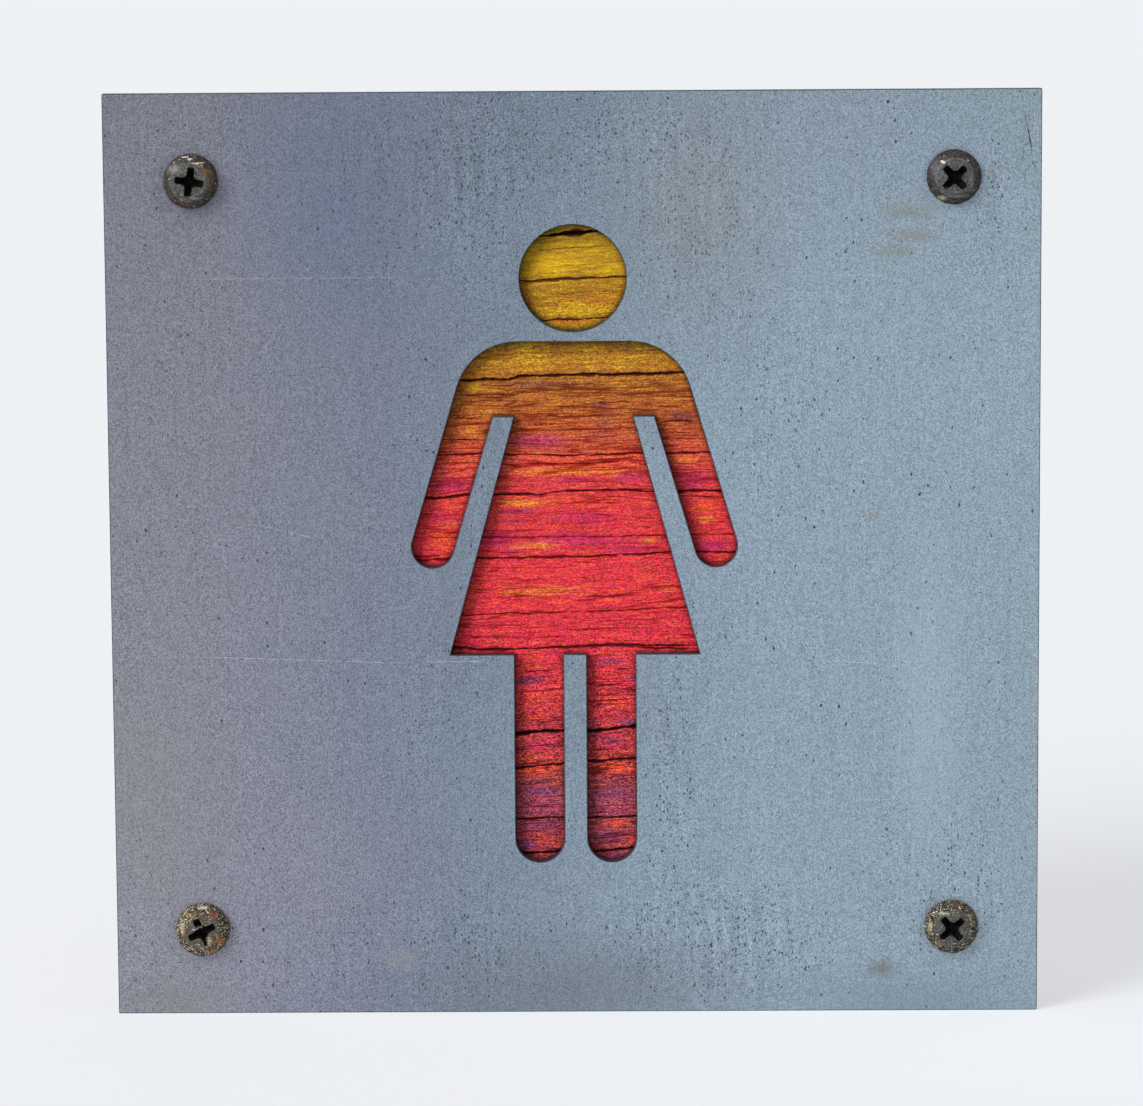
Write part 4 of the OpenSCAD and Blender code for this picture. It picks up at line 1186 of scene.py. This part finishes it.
def oxidisedSteel(name, centre, look):
    # mild steel long outdoors: a dark oxide skin, worn lighter on the flat of the head, with a crust of
    # rust and pale scale in specks; the eye reads a dull, dirty screw with a few glints
    material, tree, shader = newMaterial(name)
    place = addNode(tree, "TexCoord").outputs["Object"]
    local = addNode(tree, "VectorMath", {0: place, 1: (-centre.x, -centre.y, -centre.z)}, operation="ADD")
    flatPlace = addNode(tree, "VectorMath", {0: local, 1: (1, 0, 1)}, operation="MULTIPLY")
    radius = addNode(tree, "VectorMath", {0: flatPlace}, operation="LENGTH").outputs["Value"]
    rise = addNode(tree, "SeparateXYZ", {0: local}).outputs[1]
    grime = addNode(tree, "TexNoise", {"Vector": place, "Scale": 1 / (screw["grimeSize"] * mm), "Detail": 5.0,
                                       "Roughness": 0.65})
    speck = addNode(tree, "TexNoise", {"Vector": place, "Scale": 1 / (screw["speckSize"] * mm), "Detail": 3.0,
                                       "Roughness": 0.7})
    shift = addNode(tree, "MapRange", {0: grime.outputs[0], 1: 0.3, 2: 0.7, 3: -0.3 * mm, 4: 0.3 * mm})
    ragged = addNode(tree, "Math", {0: radius, 1: shift}, operation="ADD")
    onFlat = addNode(tree, "MapRange", {0: ragged, 1: 3.15 * mm, 2: 2.9 * mm})
    colour = addNode(tree, "Mix", {0: onFlat, 1: look["rim"], 2: look["flat"]}, data_type="RGBA")
    # worn in rings, as the head was turned and the driver slipped
    turned = addNode(tree, "Math", {0: grime.outputs[0], 1: 1.5 * mm, 2: radius}, operation="MULTIPLY_ADD")
    turned = addNode(tree, "Math", {0: turned, 1: 1 / (screw["turnedRings"] * mm)}, operation="MULTIPLY")
    turned = addNode(tree, "TexNoise", {"W": turned, "Scale": 1.0, "Detail": 2.0}, noise_dimensions="1D")
    turnedTone = addNode(tree, "MapRange", {0: turned.outputs[0], 1: 0.3, 2: 0.7, 3: 0.7, 4: 1.35})
    speckTone = addNode(tree, "MapRange", {0: speck.outputs[0], 1: 0.28, 2: 0.72, 3: 0.4, 4: 1.7})
    tone = addNode(tree, "Math", {0: turnedTone, 1: speckTone}, operation="MULTIPLY")
    cell = addNode(tree, "TexVoronoi", {"Vector": place, "Scale": 1 / (screw["crustGrain"] * mm),
                                         "Randomness": 1.0})
    cellParts = addNode(tree, "SeparateColor", {0: cell.outputs["Color"]}).outputs
    cellTone = addNode(tree, "MapRange", {0: cellParts[1], 3: 0.35, 4: 1.65})
    tone = addNode(tree, "Math", {0: tone, 1: cellTone}, operation="MULTIPLY")
    colour = addNode(tree, "VectorMath", {0: colour.outputs[2], "Scale": tone}, operation="SCALE")
    # a worn ring where the flat meets the rim
    ring = addNode(tree, "Math", {0: radius, 1: screw["flatEdge"] * mm}, operation="SUBTRACT")
    ring = addNode(tree, "Math", {0: ring}, operation="ABSOLUTE")
    ring = addNode(tree, "MapRange", {0: ring, 1: 0.16 * mm, 2: 0.04 * mm})
    wornAway = addNode(tree, "MapRange", {0: grime.outputs[0], 1: 0.4, 2: 0.6, 3: 0.0, 4: 0.6})
    ring = addNode(tree, "Math", {0: ring, 1: wornAway}, operation="MULTIPLY")
    colour = addNode(tree, "Mix", {0: ring, 1: colour, 2: "#8e8c86"}, data_type="RGBA")
    # crust in the same cells, black, rust or pale scale, thickest on the rim; its real grain is finer,
    # but these are as fine as the view can show
    crust = addNode(tree, "ValToRGB", {0: cellParts[0]}, stops=[
        (0.0, "#060505"), (0.3, "#100e0c"), (0.44, "#2e342a"), (0.57, look["rust"]), (0.67, "#586250"),
        (0.77, "#8a7064"), (0.87, "#a8a488"), (0.95, "#e4dec8"), (1.0, "#fbf8ee")])
    bloom = addNode(tree, "TexNoise", {"Vector": place, "Scale": 1 / (screw["bloomSize"] * mm), "Detail": 5.0,
                                       "Roughness": 0.7})
    less = addNode(tree, "Math", {0: onFlat, 1: 0.13}, operation="MULTIPLY")
    bloom = addNode(tree, "Math", {0: bloom.outputs[0], 1: less}, operation="SUBTRACT")
    edge = 0.64 - 0.27 * look["rusty"]
    rust = addNode(tree, "MapRange", {0: bloom, 1: edge - 0.04, 2: edge + 0.08, 3: 0.0, 4: 0.84})
    colour = addNode(tree, "Mix", {0: rust, 1: colour.outputs[2], 2: crust}, data_type="RGBA")
    # dirt and painted shade fill the cross
    deep = addNode(tree, "MapRange", {0: rise, 1: -2.3 * mm, 2: -2.46 * mm, 3: 1.0, 4: 0.0})
    inCross = addNode(tree, "MapRange", {0: radius, 1: 2.95 * mm, 2: 2.7 * mm})
    above = addNode(tree, "MapRange", {0: rise, 1: -0.3 * mm, 2: 0.0, 3: 1.0, 4: 0.0})
    dirtAndShade = addNode(tree, "Math", {0: deep, 1: inCross}, operation="MULTIPLY")
    dirtAndShade = addNode(tree, "Math", {0: dirtAndShade, 1: above}, operation="MULTIPLY")
    colour = addNode(tree, "Mix", {0: dirtAndShade, 1: colour.outputs[2], 2: "#080707"}, data_type="RGBA")
    # nicks, worn spots, blots of rust and painted glints, each broken up by the crust's own cells
    broken = addNode(tree, "Math", {0: cellParts[1], 1: speck.outputs[0]}, operation="ADD")
    for spot, size, tint, strength in look["marks"]:
        far = reachFrom(tree, local, spot, size)
        edge = addNode(tree, "Math", {0: broken, 1: 1.3, 2: far}, operation="MULTIPLY_ADD")
        mark = addNode(tree, "MapRange", {0: edge, 1: 2.5, 2: 1.8, 3: 0.0, 4: strength})
        mark = addNode(tree, "Math", {0: mark, 1: above}, operation="MULTIPLY")
        colour = addNode(tree, "Mix", {0: mark, 1: colour.outputs[2], 2: tint}, data_type="RGBA")
    tree.links.new(colour.outputs[2], shader.inputs["Base Color"])
    metal = addNode(tree, "Math", {0: rust, 1: dirtAndShade}, operation="MAXIMUM")
    metal = addNode(tree, "MapRange", {0: metal, 3: 0.5, 4: 0.0})
    tree.links.new(metal.outputs[0], shader.inputs["Metallic"])
    rough = addNode(tree, "MapRange", {0: speck.outputs[0], 1: 0.3, 2: 0.7, 3: 0.72, 4: 0.42})
    rough = addNode(tree, "Math", {0: rough, 1: metal}, operation="MULTIPLY")
    rough = addNode(tree, "MapRange", {0: rough, 1: 0.0, 2: 0.35, 3: 0.9, 4: 0.6})
    tree.links.new(rough.outputs[0], shader.inputs["Roughness"])
    shader.inputs["Specular IOR Level"].default_value = 0.15
    relief = addNode(tree, "Math", {0: speck.outputs[0], 1: cellParts[1]}, operation="ADD")
    relief = addNode(tree, "Mix", {0: rust, 1: speck.outputs[0], 2: relief})
    bump = addNode(tree, "Bump", {"Height": relief, "Strength": 0.6, "Distance": 0.15 * mm})
    tree.links.new(bump.outputs[0], shader.inputs["Normal"])
    return material


def driveScrews():
    pattern = turnScrew()
    cutRecess(pattern)
    batterHead(pattern)
    settle(pattern, screw["smoothAngle"])
    for node, look in fittedScrews.items():
        low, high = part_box(node)
        centre = Vector(((low.x + high.x) / 2, plateLow.y, (low.z + high.z) / 2))
        piece = bpy.data.objects.new("pan_head_" + node, pattern.data.copy())
        scene.collection.objects.link(piece)
        # seen from the front a turn to the left is a turn about -Y
        piece.data.transform(Matrix.Translation(centre) @ Matrix.Rotation(-radians(look["turn"]), 4, "Y"))
        piece.data.materials.clear()
        piece.data.materials.append(oxidisedSteel("oxidised_" + node, centre, look))
        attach(piece, "root")
        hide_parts(node)
    bpy.data.objects.remove(pattern)


driveScrews()
print("screws driven")

scene.view_settings.view_transform = "Standard"
